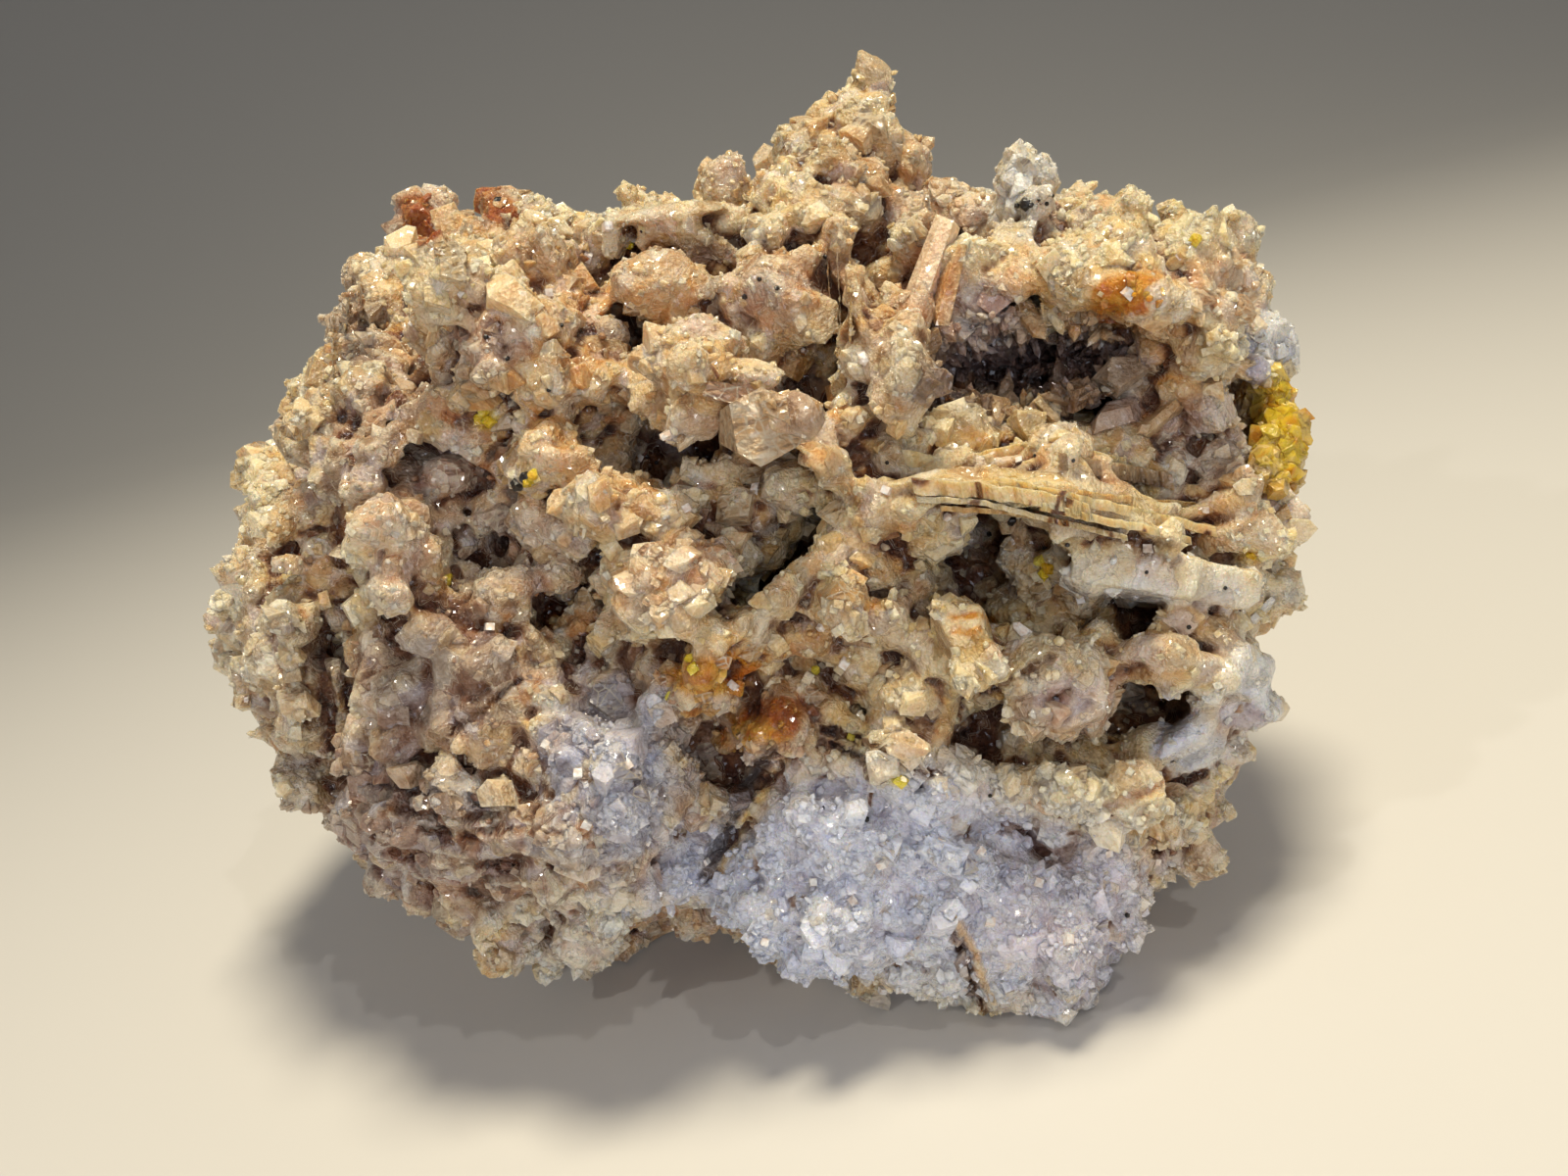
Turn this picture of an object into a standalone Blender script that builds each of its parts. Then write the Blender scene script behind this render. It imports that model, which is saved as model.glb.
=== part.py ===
"""A drusy hand specimen of calcite with yellow fluorite: one grown mass of blades and blocky crystals,
the crust that lines its hollow, and the fluorite crystals on its right edge.

Metres, +Z up. The specimen stands on a broken-off flat patch at z = 0, and its origin is under the
middle of its bounding box. The side that collectors look at faces -Y.

The forms of that side are placed by where they are seen: (x, y) in a 1600 x 1200 picture taken from
EYE, and a distance in millimetres. seen() turns the two into a point. The forms are built with EYE
straight above x = y = 0, and the finished pieces are then moved to the specimen's own origin.
"""

import math
import random

import bmesh
import bpy
from mathutils import Matrix, Vector, noise
from mathutils.bvhtree import BVHTree

MM = 0.001

# The viewpoint that the forms are placed from
EYE = Vector((0, 0, 77.0 * MM))
EYE_PITCH = math.radians(19.0)
EYE_ROLL = math.radians(13.8)
PICTURE_CENTRE = (800, 600)
FOCAL = 1244.4
# What the finished pieces take as their origin, under the middle of their bounding box
ORIGIN = Vector((-5.67 * MM, 136.97 * MM, 0))

# Driving dimensions, in millimetres
FACE_DISTANCE = 106.0
RIM_DISTANCE = 127.0
RIM_SWING = 10.0
BACK_REACH = 50.0
UNDERSIDE_SAG = 18.0
FACE_FLATNESS = 2.6
BACK_FLATNESS = 3.2
EVEN_FACE = 1.1
LUMP_SIZE, LUMP_RISE = 15.0, 3.4
BLOCK_SIZE, BLOCK_RISE = 6.0, 1.5
CHIP_SIZE, CHIP_RISE = 3.2, 0.7
SKIN = 0.6
BASE_TRIANGLES = 5600
MASS_TRIANGLES = 7700
FACE_TO_BACK = 20.0
FACE_WEIGHT = 0.1
KEEP_FACE = 0.03
KEEP_FACE_CRYSTALS = 0.006
CUT_TOLERANCE = 0.0001
STAND_PATCH_CLEAR = 4.0
JOINT_GAP = 0.3

# The outline of the mass, without its knobs and points
MIDDLE = (760, 575)
OUTLINE = [
    (214, 640), (224, 575), (250, 482), (300, 402), (350, 322), (398, 258), (440, 222),
    (515, 200), (600, 207), (700, 190), (780, 172), (830, 142), (876, 112), (914, 135),
    (945, 178), (1000, 204), (1032, 184), (1056, 172), (1084, 202), (1122, 210), (1170, 199),
    (1234, 224), (1274, 280), (1246, 334), (1282, 372), (1300, 440), (1306, 520), (1318, 580),
    (1322, 640), (1300, 700), (1296, 745), (1262, 800), (1238, 860), (1226, 900), (1170, 950),
    (1134, 1000), (1118, 1052), (1050, 1048), (980, 1038), (900, 1030), (840, 995), (785, 960),
    (735, 935), (700, 936), (660, 970), (614, 1004), (560, 980), (500, 975), (440, 938),
    (375, 898), (340, 858), (318, 815), (270, 772), (244, 722), (226, 680),
]

# Rises and hollows of the face: name, where it is seen, half width and half height in the
# picture, turn in degrees (anticlockwise), rise in millimetres, and 1 for a round top or 2 for a flat one
RELIEF = [
    ("roof_of_the_hollow", (1130, 258), (150, 62), 0, 9.0, 2),
    ("floor_of_the_hollow", (1040, 425), (120, 26), 0, -3.0, 1),
    ("upright_crystals", (896, 335), (62, 92), 8, 5.0, 2),
    ("plate_shelf", (1070, 505), (245, 52), -8, 10.0, 2),
    ("under_the_shelf", (1010, 606), (110, 22), -4, -9.0, 1),
    ("amber_block", (995, 640), (52, 40), -6, 4.0, 2),
    ("right_lumps", (1110, 690), (210, 66), -4, 7.0, 2),
    ("right_hole", (1188, 722), (42, 30), -20, -9.0, 1),
    ("right_recess", (1145, 634), (70, 16), -4, -5.0, 1),
    ("broken_face", (960, 915), (250, 125), -16, 5.0, 2),
    ("brow_of_broken_face", (1040, 800), (210, 26), -14, 4.0, 1),
    ("pit_in_broken_face", (1062, 868), (52, 20), -12, -5.5, 1),
    ("peach_ledge", (752, 412), (122, 48), -22, 10.0, 2),
    ("upper_left_brow", (520, 335), (112, 88), -20, 7.0, 2),
    ("notch_in_brow", (628, 350), (44, 26), 20, -10.0, 1),
    ("top_shelf", (640, 226), (110, 24), 4, 6.0, 2),
    ("under_top_shelf", (708, 256), (92, 15), 4, -10.0, 1),
    ("spire_root", (880, 205), (70, 60), 0, 4.0, 1),
    ("pit_by_spire", (905, 215), (22, 24), 0, -5.0, 1),
    ("chasm", (785, 556), (56, 24), 42, -11.0, 1),
    ("under_peach_ledge", (690, 455), (78, 22), -10, -10.0, 1),
    ("middle_left_ledge", (665, 505), (110, 34), -4, 4.0, 2),
    ("brown_hollow", (515, 562), (78, 52), -18, -11.0, 1),
    ("spiky_ridge", (408, 560), (36, 92), 14, 6.0, 1),
    ("left_shoulder", (352, 470), (82, 44), 38, 7.0, 2),
    ("groove_under_shoulder", (430, 456), (74, 12), 34, -7.0, 1),
    ("left_column", (272, 690), (46, 92), 4, 5.0, 2),
    ("left_groove", (332, 706), (15, 78), -8, -10.0, 1),
    ("smooth_patch", (446, 712), (100, 76), 0, 2.5, 2),
    ("peach_lumps", (672, 598), (66, 48), 26, 6.0, 2),
    ("gap_beside_lumps", (560, 612), (40, 16), -28, -7.0, 1),
    ("diagonal_ridge", (748, 655), (165, 40), 42, 8.0, 2),
    ("stain_channel", (742, 790), (34, 100), -14, -8.0, 1),
    ("white_sugar", (604, 820), (94, 78), 30, 5.0, 2),
    ("lower_left_lump", (448, 858), (118, 70), -12, 5.0, 2),
    ("layer_gap", (430, 788), (120, 9), 12, -4.0, 1),
    ("second_layer_gap", (520, 832), (66, 8), 8, -3.5, 1),
    ("left_foot", (585, 940), (92, 48), -8, 4.0, 1),
    ("gap_beside_peach_ledge", (848, 424), (18, 62), 16, -8.0, 1),
]

# Blades seen edge on: name, the front edge in the picture, thickness and reach into the mass in
# millimetres, and how far the edge stands out
BLADES = [
    ("shelf_top", [(830, 494), (900, 476), (985, 471), (1080, 475), (1175, 492)], 1.6, 14, 2.4),
    ("shelf_under_top", [(880, 512), (980, 489), (1090, 497), (1210, 521)], 1.2, 14, 1.9),
    ("shelf_second", [(895, 524), (1000, 512), (1110, 520), (1244, 547)], 1.3, 14, 2.6),
    ("shelf_third", [(955, 530), (1080, 541), (1200, 560), (1306, 580)], 1.4, 14, 2.1),
    ("shelf_low", [(1088, 574), (1180, 584), (1296, 604)], 3.2, 13, 2.8),
    ("shelf_back", [(1090, 446), (1160, 416), (1262, 396)], 1.8, 12, 1.6),
    ("shelf_slope", [(1050, 440), (1110, 420), (1170, 392)], 1.6, 10, 1.2),
    ("shelf_left", [(828, 560), (880, 520), (930, 560), (972, 604)], 1.8, 10, 2.0),
    ("roof_lip", [(968, 300), (1050, 322), (1140, 330), (1228, 334)], 2.2, 10, 1.4),
    ("right_rim", [(1256, 352), (1276, 420), (1290, 520), (1290, 600)], 2.2, 12, 0.8),
    ("brow_blade", [(845, 770), (930, 800), (1030, 812), (1120, 822)], 2.0, 10, 1.6),
    ("crack_side", [(962, 930), (982, 975), (1000, 1020)], 1.6, 8, 0.9),
    ("top_shelf_blade", [(560, 244), (640, 222), (720, 226), (800, 240)], 2.2, 10, 2.2),
    ("peach_blade", [(600, 368), (690, 356), (770, 380), (838, 424)], 2.4, 11, 1.8),
    ("ledge_blade", [(560, 486), (650, 500), (720, 492), (784, 500)], 2.0, 10, 1.6),
    ("shoulder_blade", [(318, 520), (356, 474), (400, 442), (452, 420)], 2.0, 10, 1.6),
    ("shoulder_upper", [(350, 400), (392, 366), (452, 352)], 1.8, 10, 1.2),
    ("column_blade", [(352, 650), (346, 700), (354, 760)], 1.8, 10, 1.2),
    ("upright_one", [(846, 262), (842, 320), (850, 392)], 1.8, 10, 1.8),
    ("upright_two", [(940, 262), (920, 320), (916, 380)], 2.0, 10, 1.8),
    ("lower_left_upper", [(372, 822), (440, 804), (520, 796), (600, 772)], 2.0, 10, 1.2),
    ("lower_left_lower", [(420, 876), (490, 866), (560, 872)], 1.8, 10, 1.2),
    ("diagonal_blade", [(628, 716), (700, 650), (776, 596), (842, 560)], 2.2, 10, 1.2),
]

# Knobs that stand out of the outline or the face: name, where it is seen, width and height in the
# picture, turn in degrees, how far behind the surface it sits in millimetres, and how many crystals it is
KNOBS = [
    ("spire_tip", (880, 104), (54, 50), 10, 3.0, 3),
    ("spire_neck", (882, 140), (84, 60), 0, 2.0, 3),
    ("left_knob", (214, 606), (38, 38), 0, 2.0, 2),
    ("brown_knob", (430, 220), (50, 44), 20, 6.0, 2),
    ("dark_tip", (512, 206), (44, 42), -20, 4.0, 2),
    ("shoulder_point", (1054, 184), (60, 58), 12, 2.0, 3),
    ("white_knob", (1298, 354), (60, 64), -12, 2.0, 2),
    ("roof_corner", (1262, 288), (48, 50), 0, 1.0, 3),
    ("right_block", (1306, 562), (36, 54), 0, 1.0, 2),
    ("right_slab", (1292, 706), (52, 52), 28, 1.0, 2),
    ("right_tooth", (1240, 780), (46, 80), -40, 0.0, 2),
    ("foot_corner", (1118, 1046), (36, 36), 0, 1.0, 2),
    ("side_tooth", (1164, 962), (26, 22), 0, 1.0, 1),
    ("foot_tip", (616, 1000), (32, 32), 30, 1.0, 2),
    ("white_drop", (522, 988), (30, 30), 0, 2.0, 1),
    ("peach_cleavage", (782, 434), (84, 56), -12, -1.5, 1),
    ("peach_tongue", (716, 388), (70, 44), -24, -1.0, 2),
    ("peach_boss", (668, 282), (84, 70), 10, -1.0, 4),
    ("cream_slab", (1190, 588), (130, 34), -10, -1.5, 4),
    ("amber_crystal", (994, 636), (54, 50), -8, -1.0, 1),
    ("grey_block", (1080, 716), (60, 48), 20, -1.0, 2),
    ("blocky_cube", (1175, 662), (70, 60), 6, -1.0, 2),
    ("peach_plate", (686, 602), (110, 56), 28, -1.0, 3),
    ("upright_column", (872, 300), (46, 88), 10, -1.0, 1),
    ("upright_prism", (950, 276), (44, 90), -16, -1.0, 1),
    ("druse_ball", (890, 372), (84, 56), 0, -1.0, 5),
    ("shelf_corner", (862, 522), (80, 60), 14, -1.0, 4),
    ("white_prism", (1206, 748), (76, 36), 40, 0.0, 1),
    ("brow_boss", (1130, 812), (110, 60), -8, -1.0, 4),
    ("cream_blobs", (470, 286), (90, 56), -20, -1.0, 4),
    ("ridge_teeth", (560, 460), (90, 40), -20, -1.0, 4),
    ("left_teeth", (400, 560), (50, 120), 10, -1.0, 5),
]

# The hollow: where its middle is seen, and its half width, half height and half depth in millimetres
HOLLOW_AT = (1052, 366)
HOLLOW_TURN = 6
HOLLOW_HALF = (11.5, 4.9, 12.0)
HOLLOW_SET_BACK = 5.0
HOLLOW_LUMP = 0.34
CRUST_THICKNESS = 1.4
CRUST_RIM = 0.25
CRUST_CRYSTALS = 18

# The fluorite: where each crystal is seen, its length in millimetres and its turn in degrees
FLUORITE_DISTANCE = 118.5
FLUORITE = [
    ((1286, 398), 3.8, 20), ((1302, 410), 4.2, -30), ((1292, 432), 4.8, 48), ((1310, 440), 4.4, 10),
    ((1300, 462), 4.8, -22), ((1312, 480), 3.8, 35), ((1290, 482), 3.8, 0),
]

# How far a blade's front edge follows the face, nearer and farther than its typical distance
BLADE_NEARER, BLADE_FARTHER = 2.5, 3.5
BLADE_STEP = 30

SMALL_CRYSTALS = 280
SMALL_CRYSTAL_LENGTH = (2.6, 5.2)
POINTED_SHARE = 0.35
BACK_SHARE = 0.4
SEED = 26


def eye_axes():
    """Right, up and forward of the viewpoint."""
    level_right = Vector((1, 0, 0))
    level_up = Vector((0, math.sin(EYE_PITCH), math.cos(EYE_PITCH)))
    forward = Vector((0, math.cos(EYE_PITCH), -math.sin(EYE_PITCH)))
    right = math.cos(EYE_ROLL) * level_right - math.sin(EYE_ROLL) * level_up
    up = math.sin(EYE_ROLL) * level_right + math.cos(EYE_ROLL) * level_up
    return right, up, forward


RIGHT, UP, FORWARD = eye_axes()
PICTURE_AXES = Matrix((RIGHT, UP, -FORWARD)).transposed().to_4x4()


def ray(x, y):
    """The direction that picture point (x, y) is seen in, one long along FORWARD."""
    return FORWARD + RIGHT * ((x - PICTURE_CENTRE[0]) / FOCAL) - UP * ((y - PICTURE_CENTRE[1]) / FOCAL)


def seen(x, y, distance):
    """The point that is seen at picture point (x, y), at a distance in millimetres."""
    return EYE + ray(x, y) * (distance * MM)


def rim_distance(angle):
    """How far off the outline is, in millimetres: nearer at the right, farther at the top."""
    return RIM_DISTANCE - RIM_SWING * math.cos(angle) + RIM_SWING * math.sin(angle)


def outline_radius():
    """A function from an angle to the outline's distance from MIDDLE in the picture."""
    polar = []
    for x, y in OUTLINE:
        across, above = x - MIDDLE[0], MIDDLE[1] - y
        polar.append((math.atan2(above, across) % math.tau, math.hypot(across, above)))
    polar.sort()
    polar = [(polar[-1][0] - math.tau, polar[-1][1]), *polar, (polar[0][0] + math.tau, polar[0][1])]

    def radius(angle):
        angle %= math.tau
        for (a, ra), (b, rb) in zip(polar, polar[1:]):
            if a <= angle <= b:
                return ra + (rb - ra) * (angle - a) / max(b - a, 1e-9)
        return polar[0][1]

    return radius


def relief_at(x, y):
    """How far the face stands out at a picture point, in millimetres."""
    total = 0.0
    for _, (cx, cy), (half_width, half_height), turn, rise, flatness in RELIEF:
        a = math.radians(turn)
        across, above = x - cx, cy - y
        u = (across * math.cos(a) + above * math.sin(a)) / half_width
        v = (-across * math.sin(a) + above * math.cos(a)) / half_height
        total += rise * math.exp(-((u * u + v * v) ** flatness))
    return total


def blocky(point, size):
    """A height from about -1 to 1 whose steps are like crystals: each cell has its own tilted flat top."""
    scaled = point / (size * MM)
    distances, corners = noise.voronoi(scaled)
    cell = 2 * noise.cell_vector(corners[0] * 7.3) - Vector((1, 1, 1))
    top = 0.6 * cell.x + (scaled - corners[0]).dot(cell) * 0.8
    edge = min(1.0, (distances[1] - distances[0]) * 4.0)
    return top * edge - 0.5 * (1 - edge)


def mesh_object(name, bm):
    """A mesh object from a bmesh, linked to the scene."""
    mesh = bpy.data.meshes.new(name)
    bm.to_mesh(mesh)
    bm.free()
    obj = bpy.data.objects.new(name, mesh)
    bpy.context.scene.collection.objects.link(obj)
    return obj


def baked(obj):
    """Applies the object's modifiers to its mesh."""
    graph = bpy.context.evaluated_depsgraph_get()
    mesh = bpy.data.meshes.new_from_object(obj.evaluated_get(graph))
    obj.modifiers.clear()
    obj.data = mesh
    return obj


def combined(obj, other, operation, overlaps_itself=False):
    """Joins other to obj, cuts it away, or keeps what they share, and removes other."""
    step = obj.modifiers.new(operation, "BOOLEAN")
    step.operation = operation
    step.solver = "EXACT"
    step.use_self = overlaps_itself
    step.object = other
    baked(obj)
    bpy.data.objects.remove(other)
    return obj


def rough_mass():
    """The whole mass as one lump: outline, face, back and underside, before any crystal."""
    bm = bmesh.new()
    bmesh.ops.create_icosphere(bm, subdivisions=7, radius=1)
    radius = outline_radius()
    for vert in bm.verts:
        across, above, towards = vert.co
        share = min(1.0, math.hypot(across, above)) ** 0.8
        angle = math.atan2(above, across)
        rim = rim_distance(angle)
        reach = radius(angle) * share
        x = MIDDLE[0] + reach * math.cos(angle)
        y = MIDDLE[1] - reach * math.sin(angle)
        if towards >= 0:
            depth = (1 - share**FACE_FLATNESS) ** (1 / FACE_FLATNESS)
            distance = rim + (FACE_DISTANCE - rim) * depth - relief_at(x, y) * min(1.0, 2.5 * depth)
            vert.co = seen(x, y, distance)
        else:
            depth = (1 - share**BACK_FLATNESS) ** (1 / BACK_FLATNESS)
            sag = UNDERSIDE_SAG * depth * max(0.0, -math.sin(angle)) * share
            vert.co = seen(x, y, rim) + (FORWARD * (BACK_REACH * depth) - UP * sag) * MM
    mass = mesh_object("calcite_mass", bm)
    even = mass.modifiers.new("even_faces", "REMESH")
    even.mode = "VOXEL"
    even.voxel_size = EVEN_FACE * MM
    baked(mass)
    roughen(mass)
    return thinned(mass, BASE_TRIANGLES, KEEP_FACE)


def thinned(obj, triangles, keep_face=0.0):
    """Merges faces where they are flattest, and behind the rim first, until this many triangles are left."""
    behind = obj.vertex_groups.new(name="behind")
    for vert in obj.data.vertices:
        past_rim = (vert.co - EYE).dot(FORWARD) / MM - RIM_DISTANCE
        behind.add([vert.index], max(FACE_WEIGHT, min(1.0, past_rim / FACE_TO_BACK + 0.5)), "REPLACE")
    thin = obj.modifiers.new("fewer_faces", "DECIMATE")
    thin.ratio = triangles / sum(len(face.vertices) - 2 for face in obj.data.polygons)
    thin.vertex_group = behind.name
    thin.vertex_group_factor = keep_face
    baked(obj)
    obj.vertex_groups.clear()
    return obj


def roughen(mass):
    """Lumps, blocks and chips all over the mass, pushed out along its own normals."""
    moves = []
    for vert in mass.data.vertices:
        rise = SKIN + LUMP_RISE * noise.noise(vert.co / (LUMP_SIZE * MM))
        rise += BLOCK_RISE * blocky(vert.co, BLOCK_SIZE) + CHIP_RISE * blocky(vert.co, CHIP_SIZE)
        moves.append(vert.normal * (rise * MM))
    for vert, move in zip(mass.data.vertices, moves):
        vert.co += move


def tree_of(obj):
    bm = bmesh.new()
    bm.from_mesh(obj.data)
    tree = BVHTree.FromBMesh(bm)
    bm.free()
    return tree


def face_distance(tree, x, y):
    """How far off the mass is at a picture point. Past the outline it is as far as just inside it."""
    for pull in (1.0, 0.97, 0.94, 0.9, 0.85, 0.8, 0.7):
        px, py = (middle + (part - middle) * pull for middle, part in zip(MIDDLE, (x, y)))
        hit = tree.ray_cast(EYE, ray(px, py).normalized())[0]
        if hit is not None:
            return (hit - EYE).dot(FORWARD) / MM
    return RIM_DISTANCE


def add_solid(bm, solid, place=None):
    """Adds a closed bmesh to bm, facing out."""
    if place is not None:
        bmesh.ops.transform(solid, matrix=place, verts=solid.verts)
    bmesh.ops.recalc_face_normals(solid, faces=solid.faces)
    mesh = bpy.data.meshes.new("piece")
    solid.to_mesh(mesh)
    solid.free()
    bm.from_mesh(mesh)
    bpy.data.meshes.remove(mesh)


def stepped(edge, step):
    """Picture points along a line, no more than about step apart."""
    points = []
    for (xa, ya), (xb, yb) in zip(edge, edge[1:]):
        steps = max(1, round(math.hypot(xb - xa, yb - ya) / step))
        points += [(xa + (xb - xa) * i / steps, ya + (yb - ya) * i / steps) for i in range(steps)]
    return [*points, edge[-1]]


def add_blade(bm, tree, edge, thickness, reach, stand_out, rng):
    """A plate whose front edge follows the picture points and whose far edge is inside the mass."""
    points = stepped(edge, BLADE_STEP)
    distances = [face_distance(tree, x, y) for x, y in points]
    typical = sorted(distances)[len(distances) // 2]
    blade = bmesh.new()
    row = []
    for (x, y), distance in zip(points, distances):
        near = max(typical - BLADE_NEARER, min(typical + BLADE_FARTHER, distance))
        chip = rng.uniform(-0.9, 0.4)
        row.append(blade.verts.new(seen(x, y + rng.uniform(-3, 3), near - stand_out - chip)))
    edges = [blade.edges.new(pair) for pair in zip(row, row[1:])]
    made = bmesh.ops.extrude_edge_only(blade, edges=edges)["geom"]
    far = [item for item in made if isinstance(item, bmesh.types.BMVert)]
    inside = seen(*MIDDLE, FACE_DISTANCE + 30)
    for vert in far:
        inwards = inside - vert.co
        inwards -= inwards.dot(UP) * UP
        vert.co += (FORWARD * 0.7 + inwards.normalized() * 0.5).normalized() * (reach * MM)
    bmesh.ops.recalc_face_normals(blade, faces=blade.faces)
    bmesh.ops.solidify(blade, geom=blade.faces[:], thickness=thickness * MM)
    add_solid(bm, blade)


def chipped_block(rng, size, chips=3):
    """A blocky crystal: a box with leaning sides and some corners broken off flat."""
    solid = bmesh.new()
    bmesh.ops.create_cube(solid, size=1)
    lean = Matrix.Shear("XY", 4, (rng.uniform(-0.35, 0.35), rng.uniform(-0.35, 0.35)))
    bmesh.ops.transform(solid, matrix=Matrix.Diagonal((*size, 1)) @ lean, verts=solid.verts)
    corners = [vert.co.copy() for vert in solid.verts]
    for corner in rng.sample(corners, chips):
        normal = Vector([part / side**1.5 * rng.uniform(0.6, 1.2) for part, side in zip(corner, size)])
        made = bmesh.ops.bisect_plane(
            solid, geom=[*solid.verts, *solid.edges, *solid.faces],
            plane_co=corner * rng.uniform(0.6, 0.78), plane_no=normal.normalized(),
            clear_outer=True, dist=CUT_TOLERANCE * MM,
        )
        cut = [item for item in made["geom_cut"] if isinstance(item, bmesh.types.BMEdge)]
        bmesh.ops.edgeloop_fill(solid, edges=cut)
    return solid


def pointed_prism(radius, length, sides=6):
    """A prism with a pyramid on its outer end. Its root is at the origin, and it grows along +Z."""
    solid = bmesh.new()
    shaft = 0.65 * length
    bmesh.ops.create_cone(
        solid, cap_ends=True, segments=sides, radius1=radius, radius2=radius, depth=shaft,
        matrix=Matrix.Translation((0, 0, shaft / 2)),
    )
    top = max(solid.faces, key=lambda face: face.calc_center_median().z)
    bmesh.ops.poke(solid, faces=[top])["verts"][0].co.z = length
    return solid


def facing(normal, turn=0.0):
    """A rotation that takes +Z to normal."""
    return normal.to_track_quat("Z", "Y").to_matrix().to_4x4() @ Matrix.Rotation(turn, 4, "Z")


def add_knob(bm, tree, where, size, turn, behind, count, rng):
    """One crystal of the knob's size, or a cluster of smaller ones that fills it."""
    distance = face_distance(tree, *where) + behind
    turned = Matrix.Rotation(math.radians(turn), 4, "Z")
    scale = distance / FOCAL * MM
    for i in range(count):
        part = 1.0 if count == 1 else rng.uniform(0.5, 0.72)
        width, height = size[0] * part, size[1] * part
        along = math.tau * (i + rng.uniform(0, 0.5)) / count
        off = Vector((math.cos(along) * (size[0] - width), math.sin(along) * (size[1] - height), 0)) / 2
        tilt = Matrix.Rotation(rng.uniform(-0.5, 0.5), 4, (rng.uniform(-1, 1), rng.uniform(-1, 1), 0.6))
        solid = chipped_block(rng, (width * scale, height * scale, 0.9 * max(width, height) * scale), 4)
        place = Matrix.Translation(seen(*where, distance)) @ PICTURE_AXES @ turned
        add_solid(bm, solid, place @ Matrix.Translation(off * scale) @ tilt)


def add_small_crystals(bm, mass, rng):
    """Blocky and pointed crystals all over the mass, more of them on its face."""
    faces = [face for face in mass.data.polygons if face.center.z > STAND_PATCH_CLEAR * MM]
    weights = [face.area * (1 if face.normal.dot(FORWARD) < 0.1 else BACK_SHARE) for face in faces]
    for face in rng.choices(faces, weights=weights, k=SMALL_CRYSTALS):
        length = rng.uniform(*SMALL_CRYSTAL_LENGTH) * MM
        lean = Vector([rng.uniform(-0.5, 0.5) for _ in range(3)])
        direction = (face.normal + lean).normalized()
        root = face.center - face.normal * (length * 0.4)
        place = Matrix.Translation(root) @ facing(direction, rng.uniform(0, math.tau))
        if rng.random() < POINTED_SHARE:
            solid = pointed_prism(length * rng.uniform(0.26, 0.38), length * 1.25)
        else:
            solid = chipped_block(rng, [length * rng.uniform(0.55, 1.1) for _ in range(3)])
            place = place @ Matrix.Translation((0, 0, length * 0.3))
        add_solid(bm, solid, place)


def cut_flat(obj):
    """Cuts off what is below z = 0 and closes the cut, which is the patch that the mass stands on."""
    bm = bmesh.new()
    bm.from_mesh(obj.data)
    made = bmesh.ops.bisect_plane(
        bm, geom=[*bm.verts, *bm.edges, *bm.faces], plane_co=(0, 0, 0), plane_no=(0, 0, -1),
        clear_outer=True, dist=CUT_TOLERANCE * MM,
    )
    cut = [item for item in made["geom_cut"] if isinstance(item, bmesh.types.BMEdge)]
    bmesh.ops.holes_fill(bm, edges=cut, sides=0)
    bm.to_mesh(obj.data)
    bm.free()


def keep_largest_body(obj):
    """Removes what doesn't touch the rest, and the skin of any hollow that is shut inside it."""
    bm = bmesh.new()
    bm.from_mesh(obj.data)
    left = set(bm.verts)
    bodies = []
    while left:
        stack = [left.pop()]
        body = {stack[0]}
        while stack:
            for edge in stack.pop().link_edges:
                for vert in edge.verts:
                    if vert in left:
                        left.remove(vert)
                        body.add(vert)
                        stack.append(vert)
        bodies.append(body)
    bodies.sort(key=len, reverse=True)
    stray = [vert for body in bodies[1:] for vert in body]
    bmesh.ops.delete(bm, geom=stray, context="VERTS")
    bmesh.ops.triangulate(bm, faces=bm.faces)
    bm.to_mesh(obj.data)
    bm.free()


def hollow_middle():
    return seen(*HOLLOW_AT, FACE_DISTANCE + HOLLOW_SET_BACK)


def hollow_shape(name, inset, lining=0.0):
    """The hollow as a closed lumpy shape, drawn in by inset millimetres all round.

    A lining draws it in more, down to nothing at CRUST_RIM of the way to the front.
    """
    bm = bmesh.new()
    bmesh.ops.create_icosphere(bm, subdivisions=3, radius=1)
    for vert in bm.verts:
        lump = 1 + HOLLOW_LUMP * (noise.noise(vert.co * 2.1) + noise.noise(vert.co * 4.3))
        drawn_in = inset + lining * min(1.0, 2.0 * (CRUST_RIM - vert.co.z))
        vert.co = Vector([part * (half * lump - drawn_in) * MM for part, half in zip(vert.co, HOLLOW_HALF)])
    turn = Matrix.Rotation(math.radians(HOLLOW_TURN), 4, "Z")
    place = Matrix.Translation(hollow_middle()) @ PICTURE_AXES @ turn
    bmesh.ops.transform(bm, matrix=place, verts=bm.verts)
    return mesh_object(name, bm)


def hollow_crust(whole_mass, rng):
    """The crust that lines the hollow: a thin shell, open to the front, with crystals on its inside."""
    crust = hollow_shape("vug_crust", JOINT_GAP)
    inner = hollow_shape("inner", JOINT_GAP, CRUST_THICKNESS)
    middle = hollow_middle()
    crystals = bmesh.new()
    faces = [face for face in inner.data.polygons if (face.center - middle).dot(FORWARD) > -1.0 * MM]
    for face in rng.sample(faces, CRUST_CRYSTALS):
        length = rng.uniform(2.4, 4.2) * MM
        lean = Vector([rng.uniform(-0.35, 0.35) for _ in range(3)])
        direction = (lean - face.normal).normalized()
        place = Matrix.Translation(face.center + face.normal * (0.8 * MM)) @ facing(direction)
        add_solid(crystals, pointed_prism(length * 0.32, length, 5), place)
    combined(crust, inner, "DIFFERENCE")
    rooted = mesh_object("crust_crystals", crystals)
    limit = hollow_shape("limit", JOINT_GAP + CRUST_THICKNESS / 4)
    combined(rooted, limit, "INTERSECT", overlaps_itself=True)
    combined(crust, rooted, "UNION")
    combined(crust, whole_mass, "INTERSECT")
    keep_largest_body(crust)
    return crust


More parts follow.
